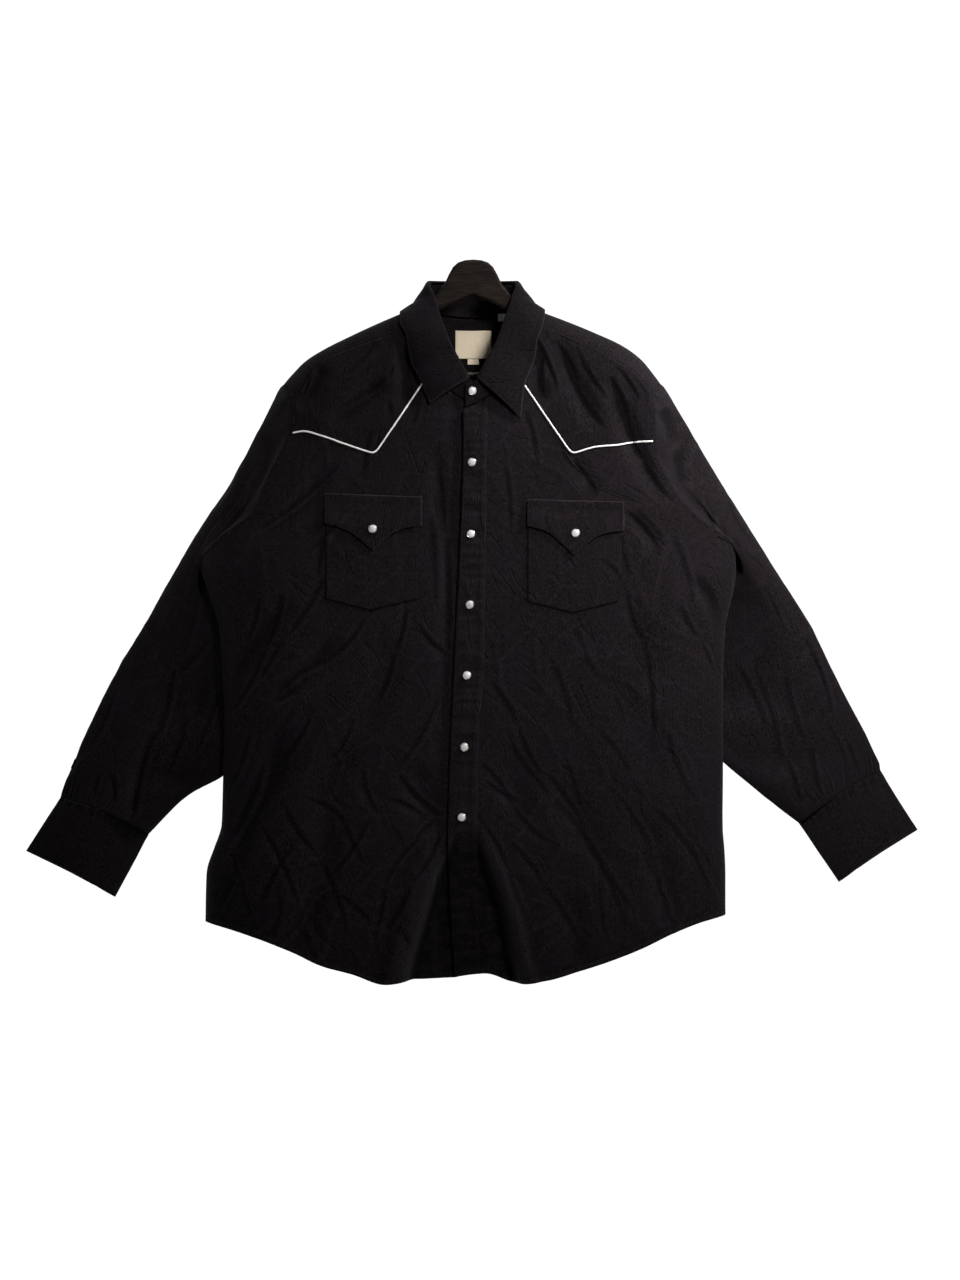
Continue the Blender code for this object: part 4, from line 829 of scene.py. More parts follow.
# Paler edges: partly abrasion, partly a painted highlight where the edges catch the light.
wear_and_highlight_map = add_node(tree, "ShaderNodeAttribute", {"attribute_name": "wear_and_highlight"})
wear_and_highlight_share = add_node(
    tree, "ShaderNodeMath", {"operation": "MULTIPLY"},
    _0=wear_and_highlight_map.outputs["Fac"], _1=patterns["grain"],
)
with_wear_and_highlight = add_node(tree, "ShaderNodeMix", COLOUR, _0=wear_and_highlight_share, _6=shaded, _7=linear("322c2f"))
weave_bump = add_node(
    tree, "ShaderNodeBump", Strength=0.7, Distance=0.0006, Height=patterns["grain"]
)
depth = add_node(tree, "ShaderNodeMapRange", Value=fine_crease, _3=1, _4=0)
crease_bump = add_node(
    tree, "ShaderNodeBump", Strength=0.7, Distance=0.0012, Height=depth, Normal=weave_bump
)
add_node(tree, shader, Base_Color=with_wear_and_highlight, Normal=crease_bump)
shader.inputs["Sheen Weight"].default_value = 0.02
shader.inputs["Sheen Roughness"].default_value = 0.5

HEM_FOLD = 7.0  # width of the turned-up hem
HEM_RISE = 0.9  # and how far it stands proud


def hemmed(grid, face):
    """The hem is folded up, so a strip along the bottom edge stands a little proud."""
    up = run_along(grid[::-1])[::-1]
    grid[..., 1] -= face * HEM_RISE * soft_step((HEM_FOLD + 1.5 - up) / 2)
    return grid


for side, word in BOTH_SIDES:
    plan = finer(front_plan(side), 13, 13)
    grid = body_points(plan[..., 0], plan[..., 1], 1)
    if side == RIGHT:
        edge = through(BAND["z"], BAND["outer"], grid[..., 2])
        covered = soft_step((grid[..., 0] - edge + 26) / 20)
        grid[..., 1] += (UNDERLAP + 2 * soft_step((-660 - grid[..., 2]) / 40)) * covered
    grid = hemmed(grid, 1)
    panels[f"front_{word}"] = grid
    # The sunk middle between the forward folds at the hem gets painted shade.
    piece = sew(
        f"front_{word}_cloth", grid, CLOTH, twill, flip=side == LEFT, wear_and_highlight="bottom",
        lean=-30 * side, dark=sheltered(grid[..., 0], grid[..., 2]),
    )
    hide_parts(f"front_{word}")

# ================================================================ the two front yokes
# A pointed second panel over each front shoulder, sewn to the back yoke's forward edge at
# the top; white piping is caught in its lower seam, where it meets the front.
# Seam between back yoke and front yoke, from the neck to the armhole.
FORWARD_SEAM = table("right_x right_z left_x left_z", (
    (68.3, -84, 68.3, -84),
    (82, -88, 82, -86.5),
    (97, -92, 97, -91),
    (117, -98, 119, -101),
    (137, -104.5, 142, -111),
    (160, -113.5, 165, -125),
    (184, -125, 190, -141),
    (212, -170, 209, -166),
))


def shares(points):
    """Share of the way along a line at each of its points."""
    run = run_along(points)
    return run / run[-1]


def halved(points):
    """The same line with a point added in the middle of each stretch."""
    out = np.repeat(points, 2, axis=0)[:-1]
    out[1::2] = (points[:-1] + points[1:]) / 2
    return out


def front_yoke_plan(side):
    """x, z of one front yoke: rows down from the forward seam, columns from the neck out."""
    ring = halved(armhole(side)[FORWARD : PIPED + 1])
    top, bottom = seam(FORWARD_SEAM, side), seam(PIPED_SEAM, side)
    neck_z = np.linspace(top[0, 1], bottom[0, 1], len(ring))
    neck_x = side * through(-NECK_FRONT["z"][::-1], NECK_FRONT["x"][::-1], -neck_z)
    start = np.stack([neck_x, neck_z], -1)
    v = np.linspace(0, 1, len(ring))
    return filled_panel(top, bottom, start, flat(ring), shares(bottom), v)


for side, word in BOTH_SIDES:
    plan = finer(front_yoke_plan(side), 12, 12)
    grid = body_points(plan[..., 0], plan[..., 1], 1)
    panels[f"front_yoke_{word}"] = grid
    # The whole yoke gets painted shade.
    piece = sew(f"front_yoke_{word}_cloth", grid, CLOTH, twill, flip=side == LEFT, dark=0.5)
    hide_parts(f"front_yoke_{word}")

# ================================================================ back and back yoke
# The back is one wide panel; the yoke above it is cut straight across and runs forward over
# both shoulders, so that the shoulder seams lie in front of the shoulder line.
NECK_BACK = table("x z face", (
    (68.3, -84, 1),
    (70.2, -69, 1),
    (70.5, -58.2, 0),
    (64.5, -60, -1),
    (45, -64, -1),
    (23, -67, -1),
    (0, -68, -1),
))
BACK_HEM_RISE = 8.0  # the back's hem hangs this much higher than the fronts'
RIDGE_PATH = 56.0  # length of cloth that the rounding below the shoulder line takes
YOKE_SEAM_Z = -200.0
# x of the back yoke's columns along its straight seam, and the shares down it of its rows.
YOKE_COLUMNS = np.array([220, 198, 176, 154, 132, 114, 100, 90, 82, 73, 62, 45, 23, 0], float)
YOKE_ROWS = np.array([0, 0.09, 0.18, 0.29, 0.44, 0.70, 1])


def drop(path):
    """Fall below the shoulder line for a length of cloth measured from it."""
    share = np.clip(np.abs(path) / RIDGE_PATH, 0, 1)
    rounded = RIDGE_ROLL * (1 - np.cos(share * math.pi / 2))
    return rounded + np.maximum(np.abs(path) - RIDGE_PATH, 0)


def path_of(fall):
    """The length of cloth that takes a given fall: the other way round."""
    share = np.clip(fall / RIDGE_ROLL, 0, 1)
    rounded = RIDGE_PATH * np.arccos(1 - share) * 2 / math.pi
    return rounded + np.maximum(fall - RIDGE_ROLL, 0)


def over_points(x, path):
    """Points on cloth that runs over the shoulder: path is positive down the front."""
    return body_points(x, ridge(x) - drop(path), np.sign(path))


def back_plan(side):
    """x, z of half the back: rows down from the yoke seam, columns from the middle out."""
    ring = armhole(side)[ARMPIT : YOKED + 1][::-1]
    low = HEM["z"][0] if side == RIGHT else HEM["z"][-1]
    end = np.concatenate([flat(ring), side_line(side, ring[-1, 2], low, 12)])
    top_x = np.linspace(0, end[0, 0], 9)
    top = np.stack([top_x, np.full_like(top_x, YOKE_SEAM_Z)], -1)
    v = (end[:, 1] - end[0, 1]) / (end[-1, 1] - end[0, 1])
    start = np.stack([0 * v, YOKE_SEAM_Z + v * (-851 - YOKE_SEAM_Z)], -1)
    plan = panel_plan(top, start, end, len(ring))
    rise = BACK_HEM_RISE * soft_step((-700 - plan[..., 1]) / 120)
    plan[:, :-1, 1] += rise[:, :-1]
    return plan


plan = np.concatenate([back_plan(RIGHT)[:, ::-1], back_plan(LEFT)[:, 1:]], axis=1)
plan = finer(plan, 8, 7)
grid = hemmed(body_points(plan[..., 0], plan[..., 1], -1), -1)
panels["back"] = grid
back = sew("back_cloth", grid, CLOTH, twill, wear_and_highlight="bottom")
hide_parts("back")


def back_yoke_plan():
    """x and length of cloth from the shoulder line, from the forward seams to the straight seam."""
    halves = []
    for side in (RIGHT, LEFT):
        line = seam(FORWARD_SEAM, side)[::-1]
        top = np.stack([line[:, 0], path_of(ridge(line[:, 0]) - line[:, 1])], -1)
        neck_x = side * NECK_BACK["x"][1:]
        neck = np.stack([neck_x, path_of(ridge(neck_x) - NECK_BACK["z"][1:])], -1)
        neck[:, 1] *= NECK_BACK["face"][1:]
        halves.append(np.concatenate([top, neck]))
    top = np.concatenate([halves[0], halves[1][::-1][1:]])
    low_x = np.concatenate([-YOKE_COLUMNS, YOKE_COLUMNS[::-1][1:]])
    bottom = np.stack([low_x, -path_of(ridge(low_x) - YOKE_SEAM_Z)], -1)
    edges = []
    for side in (RIGHT, LEFT):
        order = [*range(FORWARD, -1, -1), *range(len(ARMHOLE["face"]) - 1, YOKED - 1, -1)]
        over = armhole(side)[order]
        path = path_of(ridge(over[:, 0]) - over[:, 2]) * ARMHOLE["face"][order]
        edges.append(np.stack([over[:, 0], path], -1))
    start, end = edges
    bottom[0], bottom[-1] = start[-1], end[-1]
    fall = YOKE_ROWS[:, None, None]
    plan = top[None] + fall * (bottom - top)[None]
    u = np.linspace(0, 1, len(top))
    for edge, near in ((start, 1 - u / 0.2), (end, 1 - (1 - u) / 0.2)):
        straight = edge[0] + fall[:, 0] * (edge[-1] - edge[0])
        plan = plan + (edge - straight)[:, None] * (np.clip(near, 0, 1) ** 2)[None, :, None]
    return plan


plan = finer(back_yoke_plan(), 10, 7)
grid = over_points(plan[..., 0], plan[..., 1])
panels["back_yoke"] = grid
back_yoke = sew("back_yoke_cloth", grid, CLOTH, twill)
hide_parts("back_yoke")

# ================================================================ sleeves and cuffs
# Each long sleeve is one piece closed by an underarm seam, sewn into the armhole and hanging
# nearly flat beside the body; its end is gathered into a plain cuff that snaps at the back.
# Sections from armhole to cuff through five points: o on the outer fold, f in front, e and u
# on the inner edge, before and behind, and b at the back. gap is the clearance to the body.
SLEEVE_COLUMNS = "o_x o_z o_y f_x f_z f_y e_x e_z e_gap u_x u_z u_gap b_y"
SLEEVES = {
    RIGHT: table(SLEEVE_COLUMNS, (
        (258, -206.5, 6, 252, -268, -25, 336, -369, 3, 277, -334, 9, 38),
        (290, -264, 10, 288, -318, -22, 334, -384, 6, 272, -364, 11, 44),
        (326, -321, 13, 324, -358, -16, 321, -405, 8, 262, -400, 12, 46),
        (358, -378, 14, 346, -406, -12, 302, -428, 8, 253, -440, 12, 46),
        (390, -435, 13, 364, -452, -10, 291, -466, 8, 247, -486, 12, 44),
        (424, -492, 12, 384, -508, -9, 287, -516, 9, 251, -536, 12, 40),
        (453, -549, 10, 405, -566, -9, 297, -572, 9, 266, -582, 12, 36),
        (471, -587, 8, 422, -602, -9, 318, -610, 6, 298, -613, 12, 31),
        (484, -617, 7, 437, -634, -10, 354, -637, -3, 345, -640, 12, 26),
        (493, -643, 5, 447, -655, -12, 397, -680, -4, 390, -685, 14, 20),
    )),
    LEFT: table(SLEEVE_COLUMNS, (
        (261, -206.5, 6, 250, -268, -25, 324, -349, 3, 270, -322, 9, 38),
        (295, -264, 10, 288, -312, -22, 323, -363, 6, 267, -352, 11, 44),
        (330, -321, 13, 322, -352, -16, 312, -385, 8, 258, -390, 12, 46),
        (365, -378, 14, 346, -398, -12, 297, -414, 8, 250, -432, 12, 46),
        (400, -435, 13, 368, -446, -10, 289, -454, 8, 246, -477, 12, 44),
        (428, -492, 12, 389, -500, -9, 287, -502, 9, 252, -522, 12, 40),
        (455, -545, 10, 411, -552, -9, 299, -554, 9, 268, -564, 12, 36),
        (468, -569, 8, 426, -580, -9, 318, -590, 6, 298, -596, 12, 31),
        (478, -590, 7, 438, -606, -10, 356, -624, -3, 346, -637, 12, 26),
        (487, -611, 5, 442, -633, -12, 399, -665, -4, 391.5, -672, 14, 20),
    )),
}
SECTION_KNOTS = (0, 6, 11, 14, 18)  # points of the armhole that those five run down from
CUFF_COLUMNS = "o_x o_z o_y f_x f_z f_y e_x e_z e_y u_x u_z u_y b_y"
CUFFS = {
    RIGHT: table(CUFF_COLUMNS, (
        (493, -643, 5, 447, -655, -12, 397, -680, -4, 390, -685, 6, 20),
        (514, -675, 4, 464, -692, -12, 417, -718, -5, 410, -723, 6, 18),
        (534, -706, 3, 480, -729, -12, 437, -755, -6, 430, -760, 5, 15),
    )),
    LEFT: table(CUFF_COLUMNS, (
        (487, -611, 5, 442, -633, -12, 399, -665, -4, 391.5, -672, 6, 20),
        (509, -646, 4, 461, -671, -12, 422, -701, -5, 415, -707, 6, 18),
        (531, -681, 3, 480, -710, -12, 446, -736, -6, 439, -742, 5, 15),
    )),
}
RING = len(ARMHOLE["face"])
CUFF_WALL = 1.6  # two layers and interlining
SLEEVE_CUTS = 13  # rows for each stretch between two sections
SLEEVE_AROUND = 8  # columns for each point of the armhole
CUFF_OPENING = 16.2  # where round the ring the cuff's under end lies,
CUFF_OVERLAP = 2.2  # and how far the upper end laps past it
SLEEVE_FOLDS = {
    RIGHT: table(FOLD, (
        (-262, -215, -300, -330, 6, 9, 2.0),
        (-370, -413, -420, -523, 5, 13, 3.0),
        (-318, -440, -330, -560, 4, 11, 1.8),
        (-376, -560, -414, -664, 6, 9, 2.0),
    )),
    LEFT: table(FOLD, (
        (218, -174, 241, -225, 3, 7, 3.2),
        (241, -225, 255, -273, -2, 7, 2.8),
        (263, -330, 269, -381, 0, 9, 1.6),
        (330, -380, 352, -500, 6, 14, 1.2),
    )),
}
SLEEVE_CREASES = {
    RIGHT: table(FOLD, (
        (-355, -488, -380, -577, 4, 4.2, 3.4),
        (-378, -560, -404, -664, -4, 4.4, 5.0),
        (-425, -513, -465, -592, 4, 4.2, 1.7),
        (-465, -585, -484, -622, -3, 3.8, 1.8),
        (-430, -612, -427, -650, 2, 3.6, 2.2),
        (-315, -453, -350, -493, 3, 3.8, 1.6),
        (-300, -300, -352, -420, -6, 5, 1.6),
        (-330, -360, -346, -470, 8, 5, 1.4),
        (-400, -430, -430, -500, -5, 4.4, 1.2),
        (-340, -540, -368, -620, 5, 4, 1.8),
        (-398, -630, -408, -668, 1, 3.6, 1.6),
        (-446, -612, -454, -644, 1, 3.6, 1.5),
        (-284, -250, -312, -300, 3, 4, 1.4),
        (-306, -520, -332, -590, 3, 4, 1.6),
    )),
    LEFT: table(FOLD, (
        (395, -450, 429, -542, 4, 3.8, 2.6),
        (315, -480, 352, -562, 3, 3.8, 1.8),
        (303, -282, 337, -345, -3, 4, 1.7),
        (296, -310, 330, -390, -5, 4.4, 1.2),
        (372, -480, 398, -580, -5, 4.4, 1.1),
        (340, -500, 368, -605, 5, 4.4, 1.2),
        (420, -552, 446, -604, 3, 3.8, 1.5),
        (350, -400, 374, -456, 3, 3.8, 1.0),
        (404, -580, 416, -640, -2, 3.8, 1.4),
        (372, -590, 392, -655, 2, 3.8, 1.4),
        (444, -570, 460, -618, 2, 3.6, 1.3),
        (282, -300, 290, -380, 2, 4.2, 1.3),
    )),
}


def ring_through(knots, points, at, period):
    """A closed smooth curve through the points, whose places along it are the knots."""
    knots = np.asarray(knots, float)
    count = len(knots)
    places = np.concatenate([knots - period, knots, knots + period])
    values = np.concatenate([points] * 3)
    wide = (places[2:] - places[:-2])[:, None]
    tangent = np.zeros_like(values)
    tangent[1:-1] = (values[2:] - values[:-2]) / wide
    at = np.mod(at, period)
    i = np.searchsorted(places, at, side="right") - 1
    i = np.clip(i, count - 1, 2 * count)
    step = (places[i + 1] - places[i])[:, None]
    t = (at[:, None] - places[i][:, None]) / step
    blend = 3 * t**2 - 2 * t**3
    curve = values[i] * (1 - blend) + values[i + 1] * blend
    return curve + step * (
        (t**3 - 2 * t**2 + t) * tangent[i] + (t**3 - t**2) * tangent[i + 1]
    )


def sleeve_section(rows, row, side, at):
    """One section of a sleeve or cuff: a closed line through its five points."""
    get = {name: values[row] for name, values in rows.items()}
    outer = (side * get["o_x"], get["o_y"], get["o_z"])
    front = (side * get["f_x"], get["f_y"], get["f_z"])
    points = [outer, front]
    for name in ("e", "u"):
        x, z = side * get[f"{name}_x"], get[f"{name}_z"]
        if f"{name}_gap" in get:
            points.append((x, float(body_y(x, z, -1)) + get[f"{name}_gap"], z))
        else:
            points.append((x, get[f"{name}_y"], z))
    middle = [(a + b) / 2 for a, b in zip(points[0], points[3])]
    points.append((middle[0], get["b_y"], middle[2]))
    return ring_through(SECTION_KNOTS, np.array(points), at, RING)


def sleeve_start(ring, side):
    """The sleeve leaves its seam square to it and a little sunk."""
    around = np.roll(flat(ring), -1, axis=0) - np.roll(flat(ring), 1, axis=0)
    square = np.stack([-around[:, 1], around[:, 0]], -1) * side
    square /= np.linalg.norm(square, axis=1, keepdims=True)
    square[ARMHOLE["face"] < 0] *= -1
    square[SHOULDER] = (side * 0.75, -0.66)
    square[ARMPIT] = (side * 0.9, -0.44)
    sunk = -1.2 * ARMHOLE["face"]
    return ring + np.stack([5 * square[:, 0], -sunk, 5 * square[:, 1]], -1)


def edge_x(side, z, first, last):
    """Where the body ends at height z: the armhole seam, and the side seam below the armpit."""
    name = "right" if side == RIGHT else "left"
    x = ARMHOLE[f"{name}_x"][first : last + 1]
    height = ARMHOLE[f"{name}_z"][first : last + 1]
    if height[0] > height[-1]:
        x, height = x[::-1], height[::-1]
    above = np.interp(z, height, x)
    return np.where(z < height[0], sided(SIDES, "z", side * np.ones_like(z), z), above)


def kept_clear(grid, side, at):
    """The sleeve's points, moved off the body wherever they would touch it.

    In front it stays 6.5 mm outside the body's edge, and behind 5 mm off the back.
    """
    x, y, z = np.moveaxis(grid, -1, 0)
    column = at[None]
    beyond = np.arange(len(x))[:, None] > 1
    ahead = edge_x(side, z, PIPED, ARMPIT) - np.abs(x) + 6.5
    beside = (ahead > 0) & (column <= ARMPIT) & (y < seam_y(z) + 3) & beyond
    x = np.where(beside, x + side * ahead, x)
    behind = edge_x(side, z, ARMPIT, YOKED) - np.abs(x)
    clear = body_y(x, z, -1) + 5 * soft_step((behind + 4) / 8)
    over = (behind > -4) & (column >= ARMPIT - 3) & beyond
    over &= (column >= ARMPIT) | (y >= seam_y(z))
    y = np.where(over, np.maximum(y, clear), y)
    return np.stack([x, y, z], -1)


def sleeve_grid(side):
    """Points of a sleeve, rows from armhole to cuff, and where round the ring its columns lie."""
    at = np.arange(RING, dtype=float)
    rows = SLEEVES[side]
    ring = armhole(side)
    coarse = [ring, sleeve_start(ring, side)]
    coarse += [sleeve_section(rows, row, side, at) for row in range(len(rows["o_x"]))]
    coarse = kept_clear(np.array(coarse), side, at)
    # The seam allowance, turned in under the body so that no light comes through the seam.
    turned_in = ring - 0.7 * (coarse[1] - ring)
    turned_in[:, 1] = ring[:, 1] + 1.5 * ARMHOLE["face"]
    turned_in[SHOULDER, 2] -= 2.5
    coarse = np.concatenate([turned_in[None], coarse])
    fine_at = np.linspace(0, RING, RING * SLEEVE_AROUND + 1)
    return np.array([ring_through(at, line, fine_at, RING) for line in coarse]), fine_at


def gathered(grid, at, depth, reach):
    """Small tucks near a sleeve's end, deepest at the cuff seam and dying out up the sleeve."""
    up = run_along(grid[::-1])[::-1]
    tucks = np.sin(at * 11 + 1.6 * np.sin(at * 1.7)) * rumple(at * 1.1, 0 * at, 5)
    return depth * tucks[None] * np.exp(-((up / reach) ** 1.3)) * soft_step(up / 4)


for side, word in BOTH_SIDES:
    grid, at = sleeve_grid(side)
    grid = finer(grid, SLEEVE_CUTS, 1)
    way = normals_of(grid, loop=True) * -side
    x, z = grid[..., 0], grid[..., 2]
    front = soft_step((ARMPIT + 1 - at) / 2) * (at < 15) + soft_step((at - RING + 0.8) / 0.8)
    creased = folds(SLEEVE_FOLDS[side], x, z) + folds(SLEEVE_CREASES[side], x, z, SHARP)
    raised = -creased * front
    raised = raised + 0.42 * crumple(x, z, 20 + side) + gathered(grid, at, 2.2, 15)
    row = np.arange(len(grid))
    fade = soft_step(row / SLEEVE_CUTS - 1) * soft_step((len(grid) - 1 - row) / 6)
    grid = grid + way * (raised * fade[:, None])[..., None]
    grid[:, -1] = grid[:, 0]
    panels[f"sleeve_{word}"] = grid
    piece = sew(f"sleeve_{word}_cloth", grid, CLOTH, twill, flip=side == RIGHT, loop=True)
    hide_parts(f"sleeve_{word}")

for side, word in BOTH_SIDES:
    at = np.linspace(CUFF_OPENING, CUFF_OPENING + RING + CUFF_OVERLAP, 150)
    grid = np.array([sleeve_section(CUFFS[side], row, side, at) for row in range(3)])
    grid = finer(grid, 13, 1)
    lift = 2.6 * soft_step((at - at[-1] + 5.5) / 2.8)
    grid = grid + np.array([0, 1, 0]) * lift[None, :, None]
    way = normals_of(grid) * -side
    down = run_along(grid)
    puckers = 0.9 * rumple(at * 2.3 + 0 * down, down / 40, 8) * np.exp(-((down / 13) ** 2))
    puckers = puckers + 0.35 * crumple(grid[..., 0], grid[..., 2], 61 + side)
    grid = grid + way * puckers[..., None]
    panels[f"cuff_{word}"] = grid
    piece = sew(
        f"cuff_{word}_cloth", grid, CUFF_WALL, twill, flip=side == RIGHT,
        wear_and_highlight="bottom start end",
    )
    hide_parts(f"cuff_{word}")

# ================================================================ collar stand and collar
# The stand is a stiffened band sewn to the neckline; the pointed collar rolls over its top
# edge and lies down outside it. Both are two layers with interlining between.
# Top edge of the collar stand, where the collar rolls over, from the back to the front.
ROLL_LINE = table("x y z", (
    (0, 35, -27),
    (28, 31, -27),
    (46, 19, -28),
    (54, 5, -31),
    (50, -8, -44),
    (42, -23, -70),
    (27, -38, -108),
    (13, -47, -132),
    (4, -51.5, -147),
))
# Outer edge of the collar, from the back to the point. face as above.
COLLAR_EDGE = table("right_x right_z left_x left_z face", (
    (0, -89, 0, -89, -1),
    (30, -88, 30, -88, -1),
    (56, -84, 56, -84, -1),
    (76, -75, 76, -75, -1),
    (87, -64, 86, -64, 0),
    (86, -76, 84, -78, 1),
    (79, -96, 78, -96, 1),
    (70, -120, 70, -122, 1),
    (59.5, -150, 60.5, -152, 1),
    (51, -176, 56, -193, 1),
))
COLLAR_WALL = 1.6  # two layers and interlining
# The collar's section over the stand's top edge: distance out from it and height above it.
COLLAR_ROLL = ((-1.2, 2.8), (0.6, 4.8), (3.6, 4.4), (5.6, 1.4))
NECK_COLUMNS = 15  # points for half the neck


def resampled(points):
    """The same line cut into equal shares."""
    place = shares(points)
    wanted = np.linspace(0, 1, NECK_COLUMNS)
    return np.stack([through(place, points[:, i], wanted) for i in range(3)], -1)


def neckline(side, beyond):
    """Neck seam from the middle of the back to just past the middle of the front."""
    back = NECK_BACK["x"][::-1], NECK_BACK["z"][::-1], NECK_BACK["face"][::-1]
    x = side * back[0]
    z = np.where(back[2] == 0, ridge(x), back[1])
    behind = body_points(x, z, back[2])
    front_x = NECK_FRONT["x"][::-1][1:-1]
    front_z = NECK_FRONT["z"][::-1][1:-1]
    before = body_points(side * front_x, front_z, 1)
    last = body_points(np.array([-side * beyond]), np.array([-181.0]), 1)
    return np.concatenate([behind, before, last])


def roll_line(side, beyond):
    """Top edge of the stand, from the middle of the back to its front end."""
    line = np.stack([side * ROLL_LINE["x"], ROLL_LINE["y"], ROLL_LINE["z"]], -1)
    if beyond is None:
        return line
    last = np.array([[-side * beyond, -52.5, -151.5]])
    return np.concatenate([line, last])


def joined(function, *parameters):
    """A line round the neck, from the wearer's right front end to the left one."""
    halves = [resampled(function(side, *parameters)) for side in (RIGHT, LEFT)]
    return np.concatenate([halves[0][::-1], halves[1][1:]])


def neck_frames(beyond_low, beyond_high):
    """Neck seam, roll line, and for each column the stand's rise and the way out of the neck."""
    low = joined(neckline, beyond_low)
    high = joined(roll_line, beyond_high)
    rise = high - low
    rise /= np.linalg.norm(rise, axis=1, keepdims=True)
    along = np.gradient(high, axis=0)
    out = np.cross(rise, along)
    out /= np.linalg.norm(out, axis=1, keepdims=True)
    return low, high, rise, out


def outward(points):
    """Unit normals of the body at points on its front or back, by small differences."""
    step = 0.5
    x, y, z = np.moveaxis(points, -1, 0)
    face = np.where(y < seam_y(z), 1, -1)
    path = face * path_of(ridge(x) - z)
    across = over_points(x + step, path) - over_points(x - step, path)
    down = over_points(x, path + step) - over_points(x, path - step)
    normal = np.cross(down, across)
    normal /= np.linalg.norm(normal, axis=-1, keepdims=True)
    return normal


def collar_edge(side):
    """Outer edge of half the collar, lying on the body from the middle of the back."""
    x, z = seam(COLLAR_EDGE, side).T.copy()
    face = COLLAR_EDGE["face"]
    z[face == 0] = ridge(x[face == 0])
    line = body_points(x, z, face)
    lift = np.where(face == 0, 4.6, np.where(face > 0, 5.4, 4.6))[:, None]
    way = outward(line)
    way[face == 0] = (0, 0, 1)
    return line + way * lift


low, high, rise, out = neck_frames(9.5, 8.5)  # its ends lap past the middle by these
low = low + 1.6 * rise
grid = np.array([high + (low - high) * share for share in (0, 0.5, 1)])
columns = np.linspace(-1, 1, grid.shape[1])
over = 0.4 * soft_step((columns - 0.78) / 0.12)
under = 3.2 * soft_step((-columns - 0.78) / 0.1)
grid = finer(grid + out * (over - under)[None, :, None], 8, 8)
panels["collar_stand"] = grid
stand = sew("collar_stand_cloth", grid, COLLAR_WALL, twill)
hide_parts("collar_stand")

low, top, rise, out = neck_frames(0.0, None)
edge = joined(collar_edge)
rows = [top + across * out + up * rise for across, up in COLLAR_ROLL]
for share in (0.33, 0.67, 1.0):
    bulge = 3.0 * math.sin(share * math.pi) * out
    rows.append(rows[3] * (1 - share) + edge * share + bulge)
grid = finer(np.array(rows), 8, 8)
panels["collar"] = grid
# The whole collar gets painted shade.
collar = sew("collar_cloth", grid, COLLAR_WALL, twill, wear_and_highlight="bottom start end", dark=0.7)
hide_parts("collar")

# ================================================================ front band
# A straight strip folded and sewn down the lapping edge; the snaps are set along its middle,
# and it follows the sunk middle of the shirt below the last one.
LIFT = 0.6  # clearance between the band and the front that it lies on

share = np.linspace(0, 1, 260)[:, None]
z = BAND_TOP + share * (BAND_END - BAND_TOP)
low, high = through(BAND["z"], BAND["outer"], z), through(BAND["z"], BAND["inner"], z)
x = low - 0.4 + np.linspace(0, 1, 15)[None] * (high - low + 0.4)
top = through(NECK_FRONT["x"], NECK_FRONT["z"], x) - 1.0
bottom = through(HEM["x"], HEM["z"], x)
z = top + share * (bottom - top)
ruffle = soft_step((-690 - z) / 40) * (0.8 * rumple(x / 26, z / 15, 12) + rumple(x / 30, z / 6, 13))
across = np.clip((x - low) / (high - low), 0, 1)
pucker = 0.6 * rumple(x / 60, z / 4.5, 14) + 0.6 * rumple(x / 40, z / 13, 15)
puff = 0.3 * np.cos(across * 2 * math.pi) ** 2 + pucker * np.sqrt(np.sin(across * math.pi))
puff = puff - 0.9 * soft_step((across - 0.9) / 0.1)
gape = (0.4 + 2.6 * np.maximum(rumple(0 * z, z / 48, 17), 0)) * (1 - across) ** 2
grid = np.stack([x, body_y(x, z, 1) - LIFT - CLOTH - puff - gape + ruffle, z], -1)
panels["front_band"] = grid
# The band's stretch in the sunk middle at the hem gets painted shade.
band = sew(
    "front_band_cloth", grid, CLOTH, twill, flip=True, wear_and_highlight="bottom",
    dark=sheltered(grid[..., 0], grid[..., 2]),
)
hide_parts("front_band")

# ================================================================ pockets and flaps
# Two patch pockets with pointed lower edges, edge-stitched flat on the fronts, each under a
# flap with a scooped and pointed lower edge that closes with one snap.
# Pocket and flap outlines, as distances from the middle.
POCKETS = {
    RIGHT: {"inner": 65, "outer": 174, "top": -296, "corner": -406, "low": -419.5, "low_x": 121},
    LEFT: {"inner": 64, "outer": 171.5, "top": -299, "corner": -409, "low": -422.5, "low_x": 117},
}
FLAPS = {
    RIGHT: table("x top bottom", (
        (60, -285, -319),
        (72, -284.6, -320.5),
        (87, -284, -324.5),
        (103, -283.4, -335),
        (118.4, -282.9, -349),
        (134, -282.3, -335),
        (147, -281.9, -326.5),
        (161, -281.4, -320.5),
        (175, -281, -316.5),
    )),
    LEFT: table("x top bottom", (
        (64, -288, -319.5),
        (76, -288.3, -322.5),
        (90, -288.7, -328),
        (104, -289, -340),
        (118.5, -289.4, -354.6),
        (133, -289.8, -341.5),
        (147, -290.2, -332),
        (162, -290.6, -327.5),
        (178, -291, -325.6),
    )),
}

PATCH_WALL = 0.8
PATCH_LIFT = 1.0  # how far a pocket's face stands off the front at its edges,
FLAP_LIFT = 2.3  # and a flap's, which lies over the pocket


def lying(x, z, lift):
    """Points on the front, moved out of it by lift."""
    points = body_points(x, z, 1)
    return points + outward(points) * lift


def turned_edge(x, z, height):
    """How much higher a patch stands inside than at its turned edges, which roll down."""
    flat_grid = np.stack([x, 0 * x, z], -1)
    return height * (1 - edge_near(flat_grid, "top bottom start end"))


